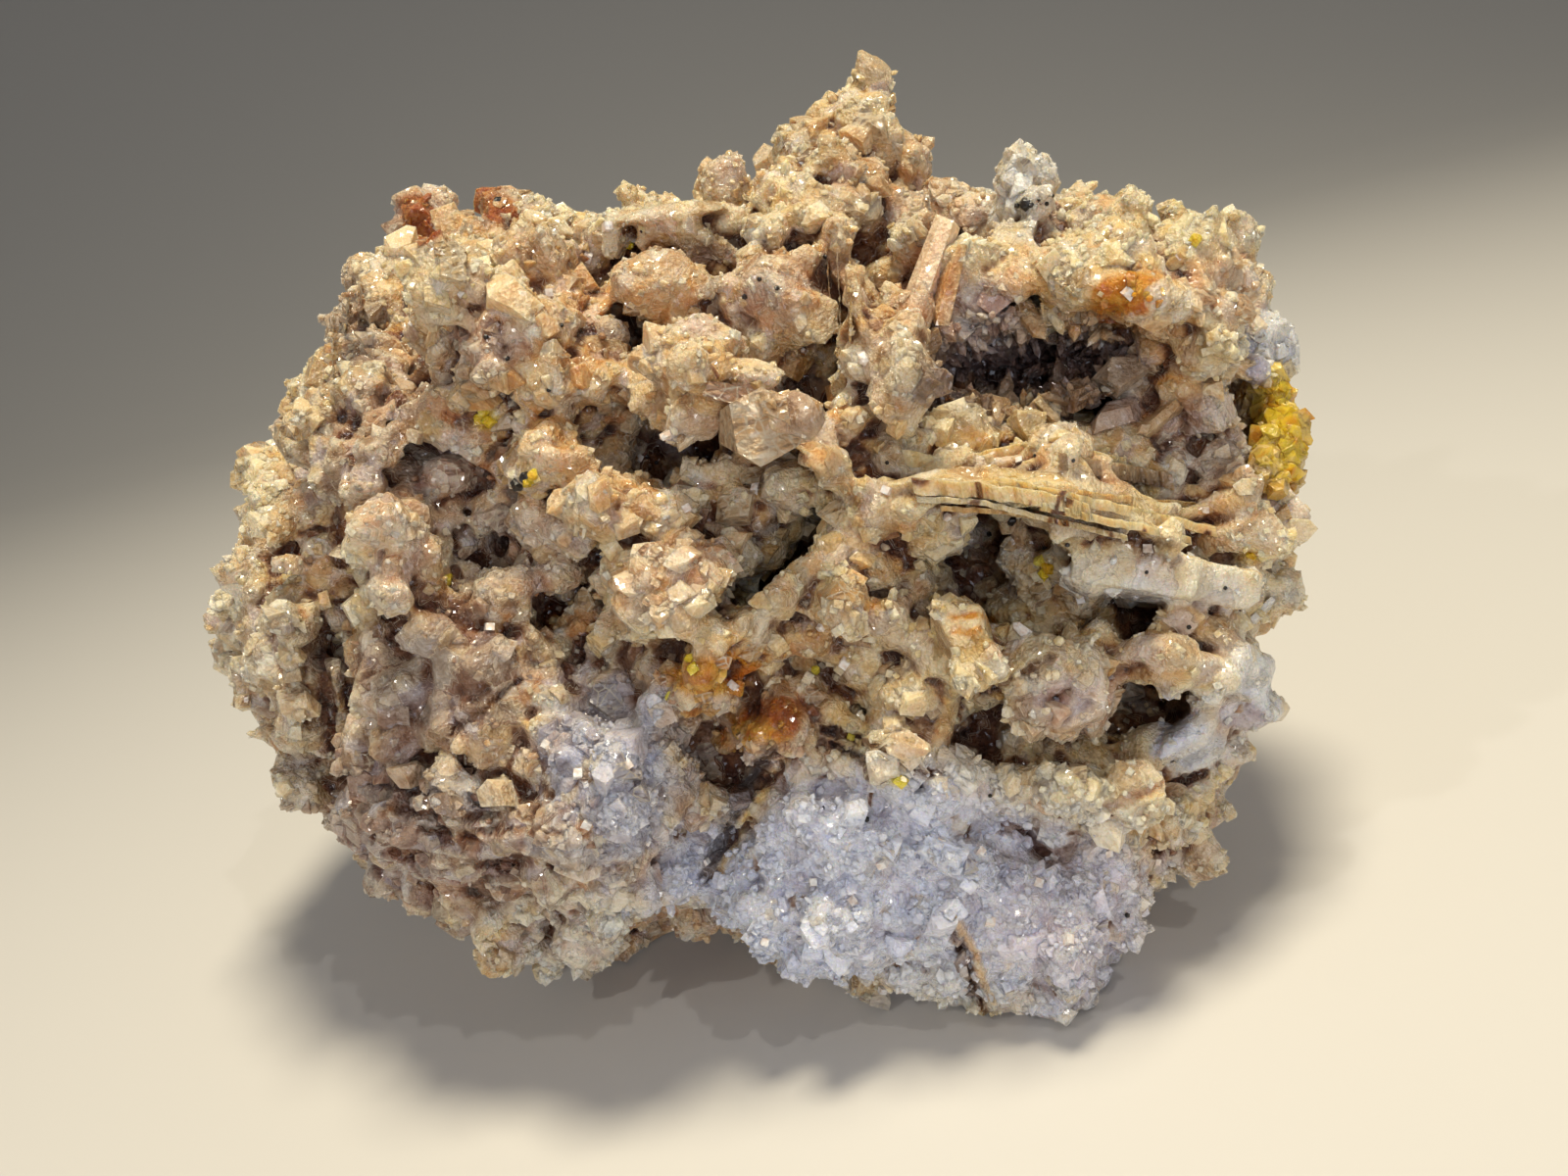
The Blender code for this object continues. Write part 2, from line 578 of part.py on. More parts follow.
def fluorite_shape(name, tree, grow=0.0):
    """The yellow crystals of the right edge, blocks that overlap into one solid."""
    rng = random.Random(SEED + 1)
    bm = bmesh.new()
    for (x, y), length, turn in FLUORITE:
        size = [(length * share + 2 * grow) * MM for share in (0.8, 1.0, 1.3)]
        turned = Matrix.Rotation(math.radians(turn), 4, (0.3, 0.5, 0.8))
        distance = min(FLUORITE_DISTANCE, face_distance(tree, x, y)) + rng.uniform(-0.6, 0.6)
        place = Matrix.Translation(seen(x, y, distance))
        add_solid(bm, chipped_block(rng, size), place @ PICTURE_AXES @ turned)
    return combined(mesh_object(name, bm), mesh_object("nothing", bmesh.new()), "UNION", True)


def material(name, colour, roughness):
    made = bpy.data.materials.new(name)
    made.use_nodes = True
    shader = made.node_tree.nodes["Principled BSDF"]
    shader.inputs["Base Color"].default_value = (*colour, 1)
    shader.inputs["Roughness"].default_value = roughness
    shader.inputs["Metallic"].default_value = 0
    made.diffuse_color = (*colour, 1)
    return made


def calcite_mass(rng):
    """The mass with its blades, knobs and crystals, and its flat patch, before its hollow is cut."""
    mass = rough_mass()
    tree = tree_of(mass)
    grown = bmesh.new()
    for _, edge, thickness, reach, stand_out in BLADES:
        add_blade(grown, tree, edge, thickness, reach, stand_out, rng)
    for _, where, size, turn, behind, count in KNOBS:
        add_knob(grown, tree, where, size, turn, behind, count, rng)
    add_small_crystals(grown, mass, rng)
    combined(mass, mesh_object("grown", grown), "UNION", overlaps_itself=True)
    keep_largest_body(mass)
    thinned(mass, MASS_TRIANGLES, KEEP_FACE_CRYSTALS)
    cut_flat(mass)
    keep_largest_body(mass)
    return mass


def copied(obj, name):
    copy = bpy.data.objects.new(name, obj.data.copy())
    bpy.context.scene.collection.objects.link(copy)
    return copy


def main():
    for obj in list(bpy.data.objects):
        bpy.data.objects.remove(obj)
    rng = random.Random(SEED)
    mass = calcite_mass(rng)
    tree = tree_of(mass)
    crust = hollow_crust(copied(mass, "whole_mass"), rng)
    fluorite = fluorite_shape("fluorite_cluster", tree)
    keep_largest_body(fluorite)
    combined(mass, hollow_shape("hollow", 0), "DIFFERENCE")
    combined(mass, fluorite_shape("seat", tree, JOINT_GAP), "DIFFERENCE")
    keep_largest_body(mass)
    mass.data.materials.append(material("calcite", (0.62, 0.45, 0.33), 0.5))
    crust.data.materials.append(material("crust", (0.36, 0.29, 0.29), 0.4))
    fluorite.data.materials.append(material("fluorite", (0.85, 0.62, 0.08), 0.2))
    specimen = bpy.data.collections.new("calcite_with_fluorite")
    bpy.context.scene.collection.children.link(specimen)
    for piece in (mass, crust, fluorite):
        piece.data.transform(Matrix.Translation(-ORIGIN))
        bpy.context.scene.collection.objects.unlink(piece)
        specimen.objects.link(piece)


main()
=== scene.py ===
# %% [markdown]
# # A hand specimen of calcite with fluorite
# This lesson dresses a rough solid of a mineral specimen in the thousands of small crystals that the
# real one is grown over with. Everything is in metres, with +Z up and the shown side towards -Y. The
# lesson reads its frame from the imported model, and makes all else with bmesh, arrays and shader nodes.

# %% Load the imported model
import math

import bmesh
import bpy
import numpy as np
from mathutils import Matrix, Vector, noise
from mathutils.bvhtree import BVHTree
from mathutils.kdtree import KDTree


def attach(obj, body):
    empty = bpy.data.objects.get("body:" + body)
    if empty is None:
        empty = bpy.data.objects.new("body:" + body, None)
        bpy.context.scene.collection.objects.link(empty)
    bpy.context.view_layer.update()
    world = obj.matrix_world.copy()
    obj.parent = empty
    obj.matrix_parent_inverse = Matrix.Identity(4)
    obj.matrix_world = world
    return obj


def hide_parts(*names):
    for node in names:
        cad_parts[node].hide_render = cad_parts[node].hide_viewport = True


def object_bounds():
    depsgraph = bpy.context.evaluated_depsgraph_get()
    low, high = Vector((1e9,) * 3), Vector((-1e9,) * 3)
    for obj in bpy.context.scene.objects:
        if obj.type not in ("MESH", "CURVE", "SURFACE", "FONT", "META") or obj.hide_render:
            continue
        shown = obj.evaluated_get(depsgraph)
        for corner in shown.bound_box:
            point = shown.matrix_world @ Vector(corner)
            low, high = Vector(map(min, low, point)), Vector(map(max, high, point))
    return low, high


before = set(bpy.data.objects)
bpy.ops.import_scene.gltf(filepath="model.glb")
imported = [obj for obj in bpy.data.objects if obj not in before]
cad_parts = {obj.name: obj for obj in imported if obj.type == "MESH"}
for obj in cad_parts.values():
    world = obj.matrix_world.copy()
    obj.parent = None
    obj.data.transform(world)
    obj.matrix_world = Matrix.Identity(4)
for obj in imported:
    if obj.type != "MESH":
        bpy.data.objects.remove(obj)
cad_low, cad_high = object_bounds()
print("solids:", sorted(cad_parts), "size in mm:", [round(v * 1000, 1) for v in cad_high - cad_low])

# %% [markdown]
# ## The viewpoint
# The specimen was seen from close by, a little from above, with the view rolled so that the world's
# up leans to the left. Most forms of a natural piece have no dimensions of their own, so they are
# placed by where they are seen: a point of a 1600 x 1200 picture and the surface behind it. The camera
# comes first for that reason: ray() goes from a picture point into the scene, and picture_points()
# goes back from places on the specimen to where they are seen.

# %% The camera
MM = 0.001
MIDDLE = Vector((0, 0, 40)) * MM
EYE = Vector((5.67, -136.97, 77.0)) * MM
EYE_PITCH = math.radians(19.0)
EYE_ROLL = math.radians(13.8)
LENS, SENSOR = 28.0, 36.0
PICTURE_SIZE = (1600, 1200)
PICTURE_CENTRE = (800, 600)
FOCAL = PICTURE_SIZE[0] * LENS / SENSOR

level_right = Vector((1, 0, 0))
level_up = Vector((0, math.sin(EYE_PITCH), math.cos(EYE_PITCH)))
FORWARD = Vector((0, math.cos(EYE_PITCH), -math.sin(EYE_PITCH)))
RIGHT = math.cos(EYE_ROLL) * level_right - math.sin(EYE_ROLL) * level_up
UP = math.sin(EYE_ROLL) * level_right + math.cos(EYE_ROLL) * level_up
PICTURE_AXES = Matrix((RIGHT, UP, -FORWARD)).transposed().to_4x4()

lens = bpy.data.cameras.new("camera")
lens.lens, lens.sensor_width = LENS, SENSOR
lens.clip_start = 5 * MM
camera = bpy.data.objects.new("camera", lens)
camera.matrix_world = Matrix.Translation(EYE) @ PICTURE_AXES
bpy.context.scene.collection.objects.link(camera)
bpy.context.scene.camera = camera


def ray(x, y):
    """The direction that picture point (x, y) is seen in, one long along FORWARD."""
    return FORWARD + RIGHT * ((x - PICTURE_CENTRE[0]) / FOCAL) - UP * ((y - PICTURE_CENTRE[1]) / FOCAL)


def picture_points(points):
    """Where an array of points is seen in the picture, and how far off in millimetres."""
    away = points - np.array(EYE)
    depth = away @ np.array(FORWARD)
    x = PICTURE_CENTRE[0] + FOCAL * (away @ np.array(RIGHT)) / depth
    y = PICTURE_CENTRE[1] - FOCAL * (away @ np.array(UP)) / depth
    return x, y, depth / MM


print("the eye is", round((EYE - MIDDLE).length / MM), "mm from the specimen's middle")

# %% [markdown]
# ## The colours of the minerals
# Calcite is colourless by itself. Here traces of iron tint it peach, tan and amber, and where it is
# free of iron it is white or faintly lilac. A short palette of names keeps those tints in one place.
# Some of the areas lay painted shade, with the palette's darker names, into gaps, hollows and undercuts, and on
# places that lie in shade.
# The picture shows which tint lies where, so the tints are laid on as large soft areas, and broken up with
# noise, so that no area ends in a clean edge.

# %% The palette and the areas
PALETTE = {
    "peach": (224, 172, 110), "salmon": (220, 166, 124), "tan": (204, 160, 102), "cream": (240, 214, 162),
    "white": (240, 236, 228), "blue_white": (222, 228, 248), "grey_white": (178, 176, 190),
    "lilac_white": (228, 212, 216), "ice": (240, 240, 252), "lilac": (186, 162, 160),
    "mauve": (132, 92, 78), "grey_lilac": (132, 106, 98), "violet_hollow_shade": (62, 36, 28),
    "pink": (224, 182, 158), "honey": (224, 186, 116), "amber": (218, 146, 34), "rust": (168, 92, 22),
    "lemon": (242, 200, 40), "lemon_cream": (234, 198, 138), "olive_white": (210, 184, 148),
    "green_white": (200, 188, 160), "brown": (118, 78, 42), "dark": (62, 40, 22), "clay": (172, 132, 98),
    "black": (24, 20, 18),
}

# Name, tint, where it is seen, half width and half height in the picture, turn in degrees, strength
AREAS = [
    ("upper_left", "peach", (520, 330), (190, 130), -20, 0.8),
    ("cream_upper_left", "cream", (468, 285), (58, 42), -10, 0.8),
    ("lilac_brow", "lilac", (500, 350), (50, 34), -10, 0.5),
    ("left_of_brow", "lemon_cream", (400, 290), (40, 70), 20, 0.6),
    ("far_left_blades", "grey_lilac", (362, 330), (34, 60), 20, 0.7),
    ("brown_knob", "rust", (428, 216), (30, 34), 0, 0.95),
    ("dark_tip", "rust", (512, 206), (30, 24), 0, 0.95),
    ("top_left", "cream", (580, 215), (70, 28), 0, 0.6),
    ("peach_chunk", "peach", (666, 282), (54, 46), 0, 0.9),
    ("top_shelf", "cream", (690, 222), (120, 22), 4, 0.9),
    # Painted shade: brown in the shadowed undercut under the top shelf.
    ("under_top_shelf", "brown", (708, 254), (74, 14), 4, 0.7),
    ("yellow_by_shelf", "lemon_cream", (786, 222), (56, 34), 0, 0.6),
    ("lump_by_uprights", "salmon", (780, 300), (60, 40), 0, 0.6),
    # Painted shade: brown in the notch, a small hollow.
    ("notch", "brown", (622, 344), (26, 20), 0, 0.7),
    ("spire", "cream", (880, 108), (44, 36), 0, 0.9),
    ("spire_pits", "clay", (898, 180), (50, 36), 0, 0.7),
    ("spire_slope", "salmon", (970, 210), (50, 26), -20, 0.6),
    ("second_peak", "green_white", (1042, 198), (44, 50), 0, 0.8),
    ("upper_right", "cream", (1180, 230), (120, 60), 0, 0.8),
    ("pink_upper_right", "pink", (1240, 290), (50, 40), 0, 0.5),
    ("amber_roof", "amber", (1144, 304), (60, 26), 8, 1.0),
    ("rust_roof", "rust", (1136, 314), (26, 12), 0, 0.5),
    ("lemon_roof", "lemon_cream", (1090, 296), (36, 20), 0, 0.8),
    ("hollow_left", "lilac", (1000, 320), (50, 44), 0, 0.8),
    ("hollow", "grey_lilac", (1060, 368), (130, 46), 4, 0.9),
    # Painted shade: dark violet deep in the hollow, where little light reaches.
    ("hollow_deep", "violet_hollow_shade", (1050, 386), (84, 22), 4, 0.7),
    ("hollow_floor", "clay", (1150, 420), (90, 26), 8, 0.5),
    ("uprights", "tan", (880, 300), (50, 70), 0, 0.6),
    ("upright_prism", "salmon", (952, 280), (34, 56), -10, 0.8),
    ("druse_ball", "cream", (896, 372), (46, 36), 0, 0.6),
    ("white_knob", "white", (1302, 352), (34, 34), 0, 1.0),
    ("yellow_edge", "lemon", (1304, 436), (22, 60), 0, 0.9),
    ("plates", "cream", (1050, 498), (230, 50), -6, 0.55),
    # Painted shade: brown in the dark gaps between the plates.
    ("plate_gaps", "brown", (1110, 486), (110, 6), -6, 0.6),
    ("plate_gaps_low", "brown", (1120, 545), (120, 8), -8, 0.6),
    ("right_of_plates", "lilac", (1240, 450), (50, 50), 0, 0.5),
    ("cream_slab", "cream", (1196, 586), (120, 24), -8, 0.9),
    # Painted shade: brown under the plates.
    ("under_plates", "brown", (1010, 600), (90, 16), -4, 0.5),
    ("lemon_touch_right", "lemon", (1280, 566), (20, 10), 0, 0.6),
    ("peach_ledge", "peach", (760, 410), (120, 50), -24, 0.7),
    # Painted shade: clay for the shadow line under the peach ledge.
    ("under_peach_ledge", "clay", (690, 456), (66, 22), -8, 0.8),
    ("lilac_under_ledge", "grey_lilac", (684, 452), (30, 14), -8, 0.6),
    ("middle_left", "peach", (640, 510), (120, 34), -4, 0.5),
    ("lilac_knots", "lilac_white", (450, 465), (40, 26), 20, 0.6),
    ("brown_hollow", "lilac", (520, 560), (72, 50), -18, 0.5),
    ("brown_hollow_deep", "rust", (545, 600), (20, 14), 0, 0.7),
    ("rust_pit", "rust", (492, 484), (16, 14), 0, 0.7),
    ("spiky_ridge", "pink", (404, 560), (34, 90), 12, 0.7),
    ("left_shoulder", "green_white", (372, 452), (90, 44), 38, 0.8),
    ("left_column", "olive_white", (286, 690), (66, 110), 6, 0.8),
    # Painted shade: brown down the left groove.
    ("left_groove", "brown", (330, 704), (10, 70), -6, 0.85),
    ("left_foot_edge", "olive_white", (320, 770), (70, 40), -20, 0.6),
    ("smooth_patch", "mauve", (446, 700), (100, 80), 0, 0.75),
    ("pink_smooth_patch", "clay", (520, 670), (60, 50), 0, 0.4),
    ("peach_lumps", "salmon", (690, 588), (66, 46), 26, 0.7),
    # Painted shade: near black in the chasm, a deep gap.
    ("chasm", "dark", (786, 556), (34, 18), 42, 0.9),
    ("diagonal_ridge", "lemon_cream", (770, 620), (150, 46), 40, 0.7),
    ("amber_band", "amber", (716, 692), (78, 26), 8, 1.0),
    ("rust_band", "rust", (782, 742), (62, 46), 24, 1.0),
    ("amber_band_low", "amber", (762, 770), (50, 44), 0, 0.75),
    ("dark_below_band", "brown", (742, 830), (20, 44), -14, 0.8),
    ("middle_right", "cream", (1000, 680), (130, 60), -4, 0.5),
    ("amber_block", "amber", (995, 640), (22, 20), 0, 0.8),
    ("lilac_right", "lilac", (1080, 720), (60, 34), 0, 0.6),
    ("clear_right", "tan", (1170, 670), (60, 40), 0, 0.5),
    ("right_hole", "grey_lilac", (1180, 722), (40, 22), 0, 0.9),
    ("right_edge", "white", (1262, 720), (50, 60), 0, 0.7),
    ("white_crystals", "white", (1215, 764), (44, 34), 0, 0.9),
    # Painted shade: grey white, darker than the white grains, as this face lies partly in shadow.
    ("white_sugar", "grey_white", (630, 800), (104, 112), 20, 0.9),
    ("white_sugar_low", "blue_white", (800, 940), (120, 84), -24, 0.95),
    ("white_foot", "white", (600, 960), (120, 50), -10, 0.6),
    ("broken_face", "ice", (980, 905), (255, 116), -14, 1.0),
    ("pink_broken_face", "lilac_white", (1100, 930), (100, 70), -10, 0.7),
    ("white_corner", "white", (960, 1010), (60, 40), 0, 0.6),
    ("brow_of_broken_face", "cream", (1100, 806), (110, 36), -10, 0.6),
    ("seam", "brown", (870, 770), (70, 6), -30, 0.8),
    ("crack", "brown", (984, 980), (6, 54), 16, 0.8),
    ("lower_left", "mauve", (430, 850), (150, 90), -12, 0.85),
    ("lower_left_seam", "clay", (440, 792), (110, 10), 12, 0.8),
    ("lower_left_seam_two", "clay", (520, 832), (80, 8), 8, 0.7),
    ("amber_spot", "amber", (470, 860), (22, 10), 0, 0.7),
    ("amber_spot_two", "amber", (596, 850), (12, 14), 0, 0.6),
    ("clay_left_low", "clay", (380, 800), (50, 20), 20, 0.5),
    ("lemon_dot_left", "lemon", (494, 428), (12, 10), 0, 0.9),
    ("lemon_dot_pit", "lemon", (540, 490), (12, 10), 0, 0.8),
    ("lemon_dot_plates", "lemon", (1066, 578), (10, 8), 0, 0.9),
    ("lemon_dot_low", "lemon", (914, 794), (10, 8), 0, 0.9),
    ("lemon_dot_edge", "lemon", (1284, 758), (8, 8), 0, 0.9),
    # Painted shade: the rows below that end in _shade darken their places, which lie in shade.
    ("left_shoulder_shade", "clay", (390, 440), (100, 60), 38, 0.75),
    ("spire_shade", "tan", (890, 150), (64, 80), 0, 0.6),
    ("smooth_patch_shade", "mauve", (450, 690), (90, 70), 0, 0.5),
    ("lower_left_shade", "mauve", (420, 860), (140, 80), -12, 0.75),
    ("hollow_shade", "violet_hollow_shade", (1040, 382), (130, 44), 4, 0.8),
    ("slab_light", "white", (1180, 588), (116, 24), -8, 1.0),
    ("second_peak_light", "white", (1042, 200), (40, 50), 0, 0.7),
    ("upper_right_light", "cream", (1190, 225), (90, 44), 0, 0.5),
    ("amber_block_honey", "honey", (984, 646), (38, 32), 0, 0.9),
]
BASE_TINTS = ("tan", "peach", "cream", "cream")
BACK_TINTS = ("peach", "tan", "lilac_white", "cream", "olive_white")


def linear(rgb):
    """A tint as the renderer counts it, from the 0 to 255 of a colour picker."""
    part = np.array(rgb) / 255
    return np.where(part <= 0.04045, part / 12.92, ((part + 0.055) / 1.055) ** 2.4)


TINT = {name: linear(rgb) for name, rgb in PALETTE.items()}
# Patches of the base tints: their size in mm in front and behind, how far apart their noises are, how crisp
PATCH, BACK_PATCH, PATCH_SHIFT, PATCH_CONTRAST = 7.0, 16.0, 31.7, 5.0
# The edge of a named area: where it starts and ends over the area's size, its waves and their sizes in mm
RAGGED_EDGE, RAGGEDNESS, WIDE_WAVES, FINE_WAVES = (0.55, 1.35), 0.35, 9.0, 3.0
# The shown side ends at a rim: its middle in the picture, how far off it is in mm, its tilt, its softness
RIM_MIDDLE, RIM_DEPTH, RIM_TILT, RIM_SOFT = (760, 575), 127, 10, (-1, 7)


def smoothstep(low, high, value):
    """From 0 to 1 as a value goes from low to high, with soft ends."""
    part = np.clip((value - low) / (high - low), 0, 1)
    return part * part * (3 - 2 * part)


def oval(x, y, centre, half, turn):
    """How far out picture points are in a turned oval: 0 at its middle, 1 at its edge."""
    a = math.radians(turn)
    across, above = x - centre[0], centre[1] - y
    u = (across * math.cos(a) + above * math.sin(a)) / half[0]
    v = (-across * math.sin(a) + above * math.cos(a)) / half[1]
    return np.hypot(u, v)


def noise_at(points, size, shift=0.0):
    """Smooth noise from about -1 to 1 at an array of points. Size is in millimetres."""
    scaled = points / (size * MM) + shift
    return np.array([noise.noise(Vector(p)) for p in scaled])


def patchwork(points, tints, size):
    """A mix of tints that changes from place to place."""
    fields = np.stack([noise_at(points, size, PATCH_SHIFT * i) for i in range(len(tints))], axis=1)
    weights = np.exp(PATCH_CONTRAST * fields)
    weights /= weights.sum(axis=1, keepdims=True)
    return weights @ np.array([TINT[name] for name in tints])


def tints_at(points):
    """The tint of the specimen at an array of points."""
    x, y, depth = picture_points(points)
    wide, fine = noise_at(points, WIDE_WAVES), noise_at(points, FINE_WAVES, 7.0)
    angle = np.arctan2(RIM_MIDDLE[1] - y, x - RIM_MIDDLE[0])
    rim = RIM_DEPTH - RIM_TILT * np.cos(angle) + RIM_TILT * np.sin(angle)
    front = 1 - smoothstep(rim + RIM_SOFT[0], rim + RIM_SOFT[1], depth)
    tint = patchwork(points, BASE_TINTS, PATCH)
    for _, name, centre, half, turn, strength in AREAS:
        out = oval(x, y, centre, half, turn)
        inside = 1 - smoothstep(*RAGGED_EDGE, out + RAGGEDNESS * wide + RAGGEDNESS * fine)
        weight = (inside * strength)[:, None]
        tint = tint * (1 - weight) + TINT[name] * weight
    back = patchwork(points, BACK_TINTS, BACK_PATCH)
    return tint * front[:, None] + back * (1 - front[:, None])


print(len(AREAS), "areas of", len(PALETTE), "tints")

# %% [markdown]
# ## The bed that the crystals grow on
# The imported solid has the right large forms, but its faces are too big for the millimetre world. A copy
# of it is merged and remeshed evenly, and a cell noise breaks it into chunks with tilted tops and seams
# between them. Named rises and hollows add the lumps, ledges and pits that can be told apart. The bed is
# drawn in a little, so that the crystals on it reach out to about where the solid's surface was. Some
# places are calmer than others, such as a broken face, and have their own shares of all this.

# %% Calm and rough areas
# Name, where it is seen, half width and half height, turn, then shares of the usual: relief, size of the
# grains, number of sugar crystals, number of blocks
CALM_AREAS = [
    ("white_sugar", (620, 815), (105, 105), 20, 0.35, 1.0, 2.4, 1.3),
    ("broken_face_left", (840, 950), (150, 90), -24, 0.25, 1.0, 2.8, 1.6),
    ("broken_face", (1010, 900), (250, 125), -14, 0.25, 1.0, 2.8, 1.6),
    ("smooth_patch", (446, 705), (105, 80), 0, 0.25, 1.0, 0.5, 0.3),
    ("lower_left", (440, 870), (140, 84), -12, 0.4, 1.0, 0.8, 0.6),
    ("left_column", (286, 690), (60, 110), 6, 0.4, 0.9, 0.7, 0.8),
    ("left_shoulder", (372, 452), (90, 44), 38, 0.5, 0.7, 1.0, 0.6),
    ("plates", (1060, 505), (190, 46), -6, 0.06, 0.6, 0.08, 0.05),
    ("hollow_floor", (1140, 425), (110, 26), 6, 0.5, 0.9, 0.6, 1.0),
    ("top_shelf", (690, 222), (80, 24), 4, 0.25, 0.7, 0.3, 0.2),
    ("diagonal_ridge", (750, 640), (150, 40), 40, 0.6, 0.9, 0.8, 1.0),
    ("cleavage_chunk", (782, 436), (74, 44), -12, 0.05, 0.6, 0.05, 0.0),
    ("cream_slab", (1190, 592), (110, 34), -8, 0.2, 0.7, 0.4, 0.1),
    ("round_lumps", (730, 290), (110, 50), 0, 0.3, 0.7, 1.3, 0.3),
    ("spiky_ridge", (390, 565), (34, 84), 18, 0.8, 0.8, 1.3, 0.15),
    ("brown_hollow", (500, 565), (80, 56), -18, 0.6, 0.8, 0.8, 0.5),
    ("uprights", (868, 300), (34, 56), 0, 0.3, 0.7, 0.3, 0.2),
    ("upright_prism", (952, 280), (26, 56), -12, 0.1, 0.7, 0.1, 0.1),
    ("amber_block", (988, 650), (36, 30), -8, 0.1, 0.7, 0.1, 0.0),
    ("rust_band", (780, 742), (40, 36), 24, 0.4, 0.8, 1.0, 0.2),
    ("right_crystals", (1290, 700), (40, 60), 10, 0.4, 0.8, 0.3, 0.3),
    ("white_prisms", (1206, 762), (50, 36), 40, 0.3, 0.8, 0.3, 0.3),
    ("clear_cluster", (1190, 676), (60, 34), 20, 0.3, 0.8, 0.3, 0.3),
]


def area_share(x, y, centre, half, turn, soft=(0.75, 1.25)):
    """1 inside a soft-edged oval of the picture, 0 outside it."""
    return 1 - smoothstep(*soft, oval(x, y, centre, half, turn))


def calm(points):
    """At an array of points, shares of the usual relief, grain size, sugar and blocks."""
    x, y, _ = picture_points(points)
    shares = np.ones((4, len(points)))
    for _, centre, half, turn, *wanted in CALM_AREAS:
        inside = area_share(x, y, centre, half, turn)
        shares = shares * (1 - inside) + np.array(wanted)[:, None] * inside
    return shares


# %% Named rises and hollows
# Name, where it is seen, half width and half height, turn, rise in millimetres (below zero: a hollow)
RISES = [
    ("top_shelf", (690, 218), (70, 14), 4, 1.2),
    ("under_top_shelf", (712, 256), (50, 16), 6, -3.0),
    ("peach_chunk", (672, 290), (52, 44), 0, 1.8),
    ("salmon_lump", (792, 298), (44, 42), 0, 1.8),
    ("dark_under_lumps", (808, 366), (38, 22), 0, -3.0),
    ("notch", (612, 348), (24, 18), -20, -2.5),
    ("left_of_notch", (560, 250), (40, 26), 0, 1.0),
    ("by_uprights", (836, 320), (8, 60), 0, -2.0),
    ("druse_ball", (896, 372), (46, 36), 0, 1.6),
    ("hollow", (1050, 375), (110, 38), 6, -2.2),
    ("hollow_right", (1160, 385), (60, 26), 6, -1.6),
    ("roof_lip", (1140, 300), (90, 20), 6, 1.0),
    ("chasm", (786, 556), (52, 15), 44, -4.0),
    ("under_ledge", (770, 484), (80, 13), -8, -3.2),
    ("lilac_gap", (664, 448), (42, 20), -12, -2.6),
    ("ledge", (740, 372), (64, 22), -18, 1.5),
    ("rust_pit", (492, 484), (16, 13), 0, -2.8),
    ("brown_hollow", (500, 562), (80, 46), -18, 2.2),
    ("brown_pit", (556, 604), (14, 10), 0, -3.4),
    ("brown_pit_two", (594, 616), (10, 12), 0, -2.6),
    ("brown_pit_three", (518, 558), (12, 10), 0, -3.0),
    ("spiky_ridge", (388, 566), (16, 74), 18, 0.9),
    ("left_ledge", (380, 430), (80, 18), 38, 1.2),
    ("under_left_ledge", (410, 478), (60, 12), 36, -2.0),
    ("left_groove", (332, 712), (8, 60), -6, -2.8),
    ("cream_ledge", (548, 628), (46, 18), -8, 1.3),
    ("under_cream_ledge", (560, 664), (50, 10), -8, -1.4),
    ("peach_lumps", (692, 590), (56, 36), 26, 1.4),
    ("violet_hole", (1000, 580), (22, 34), 0, -3.0),
    ("violet_hole_two", (1034, 536), (12, 12), 0, -2.0),
    ("grain_ridge", (940, 556), (52, 16), -50, 1.5),
    ("under_slab", (1140, 634), (70, 10), -6, -2.4),
    ("gap_over_slab", (1110, 545), (40, 7), -14, -1.6),
    ("by_lamellae", (1230, 520), (36, 14), -10, -2.4),
    ("right_hole", (1174, 732), (40, 20), 10, -3.2),
    ("under_amber_block", (985, 690), (50, 10), 0, -1.6),
    ("seam", (900, 770), (54, 4), -30, -1.0),
    ("diagonal_ridge", (780, 624), (70, 22), 40, 1.0),
    ("dark_streak", (748, 830), (8, 50), -22, -1.4),
    ("foot_brow", (1100, 800), (110, 18), -12, 1.2),
    ("under_foot_brow", (1070, 836), (90, 9), -12, -1.2),
    ("clay_seam", (420, 806), (70, 6), 12, -1.2),
    ("second_peak_left", (985, 250), (16, 50), -14, -1.8),
    ("spire_left", (930, 150), (14, 26), 0, -1.0),
    ("rust_band", (780, 742), (44, 34), 24, 2.6),
    ("amber_band", (716, 700), (60, 24), 8, 1.0),
]
# How far off in mm they fade out, how much more a hollow and a rise are, and the waves of their edges
RISES_END = (118, 132)
HOLLOW_GAIN, RISE_GAIN = 1.4, 1.2
RISE_WAVES, RISE_WAVE_SIZE = 0.3, 2.4


def rises_at(points):
    """How far the named places lift an array of points, in millimetres."""
    x, y, depth = picture_points(points)
    near = 1 - smoothstep(*RISES_END, depth)
    wavy = RISE_WAVES * noise_at(points, RISE_WAVE_SIZE, 21.0)
    total = np.zeros(len(points))
    for _, centre, half, turn, rise in RISES:
        total += rise * (1 - smoothstep(*RAGGED_EDGE, oval(x, y, centre, half, turn) + wavy))
    return np.where(total < 0, HOLLOW_GAIN, RISE_GAIN) * total * near


print(len(RISES), "named rises and hollows, and", len(CALM_AREAS), "calm areas")

# %% Meshes as arrays
def merged_copy(node, name):
    """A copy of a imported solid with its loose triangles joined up."""
    bm = bmesh.new()
    bm.from_mesh(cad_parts[node].data)
    bmesh.ops.remove_doubles(bm, verts=bm.verts, dist=1e-6)
    mesh = bpy.data.meshes.new(name)
    bm.to_mesh(mesh)
    bm.free()
    obj = bpy.data.objects.new(name, mesh)
    bpy.context.scene.collection.objects.link(obj)
    return obj


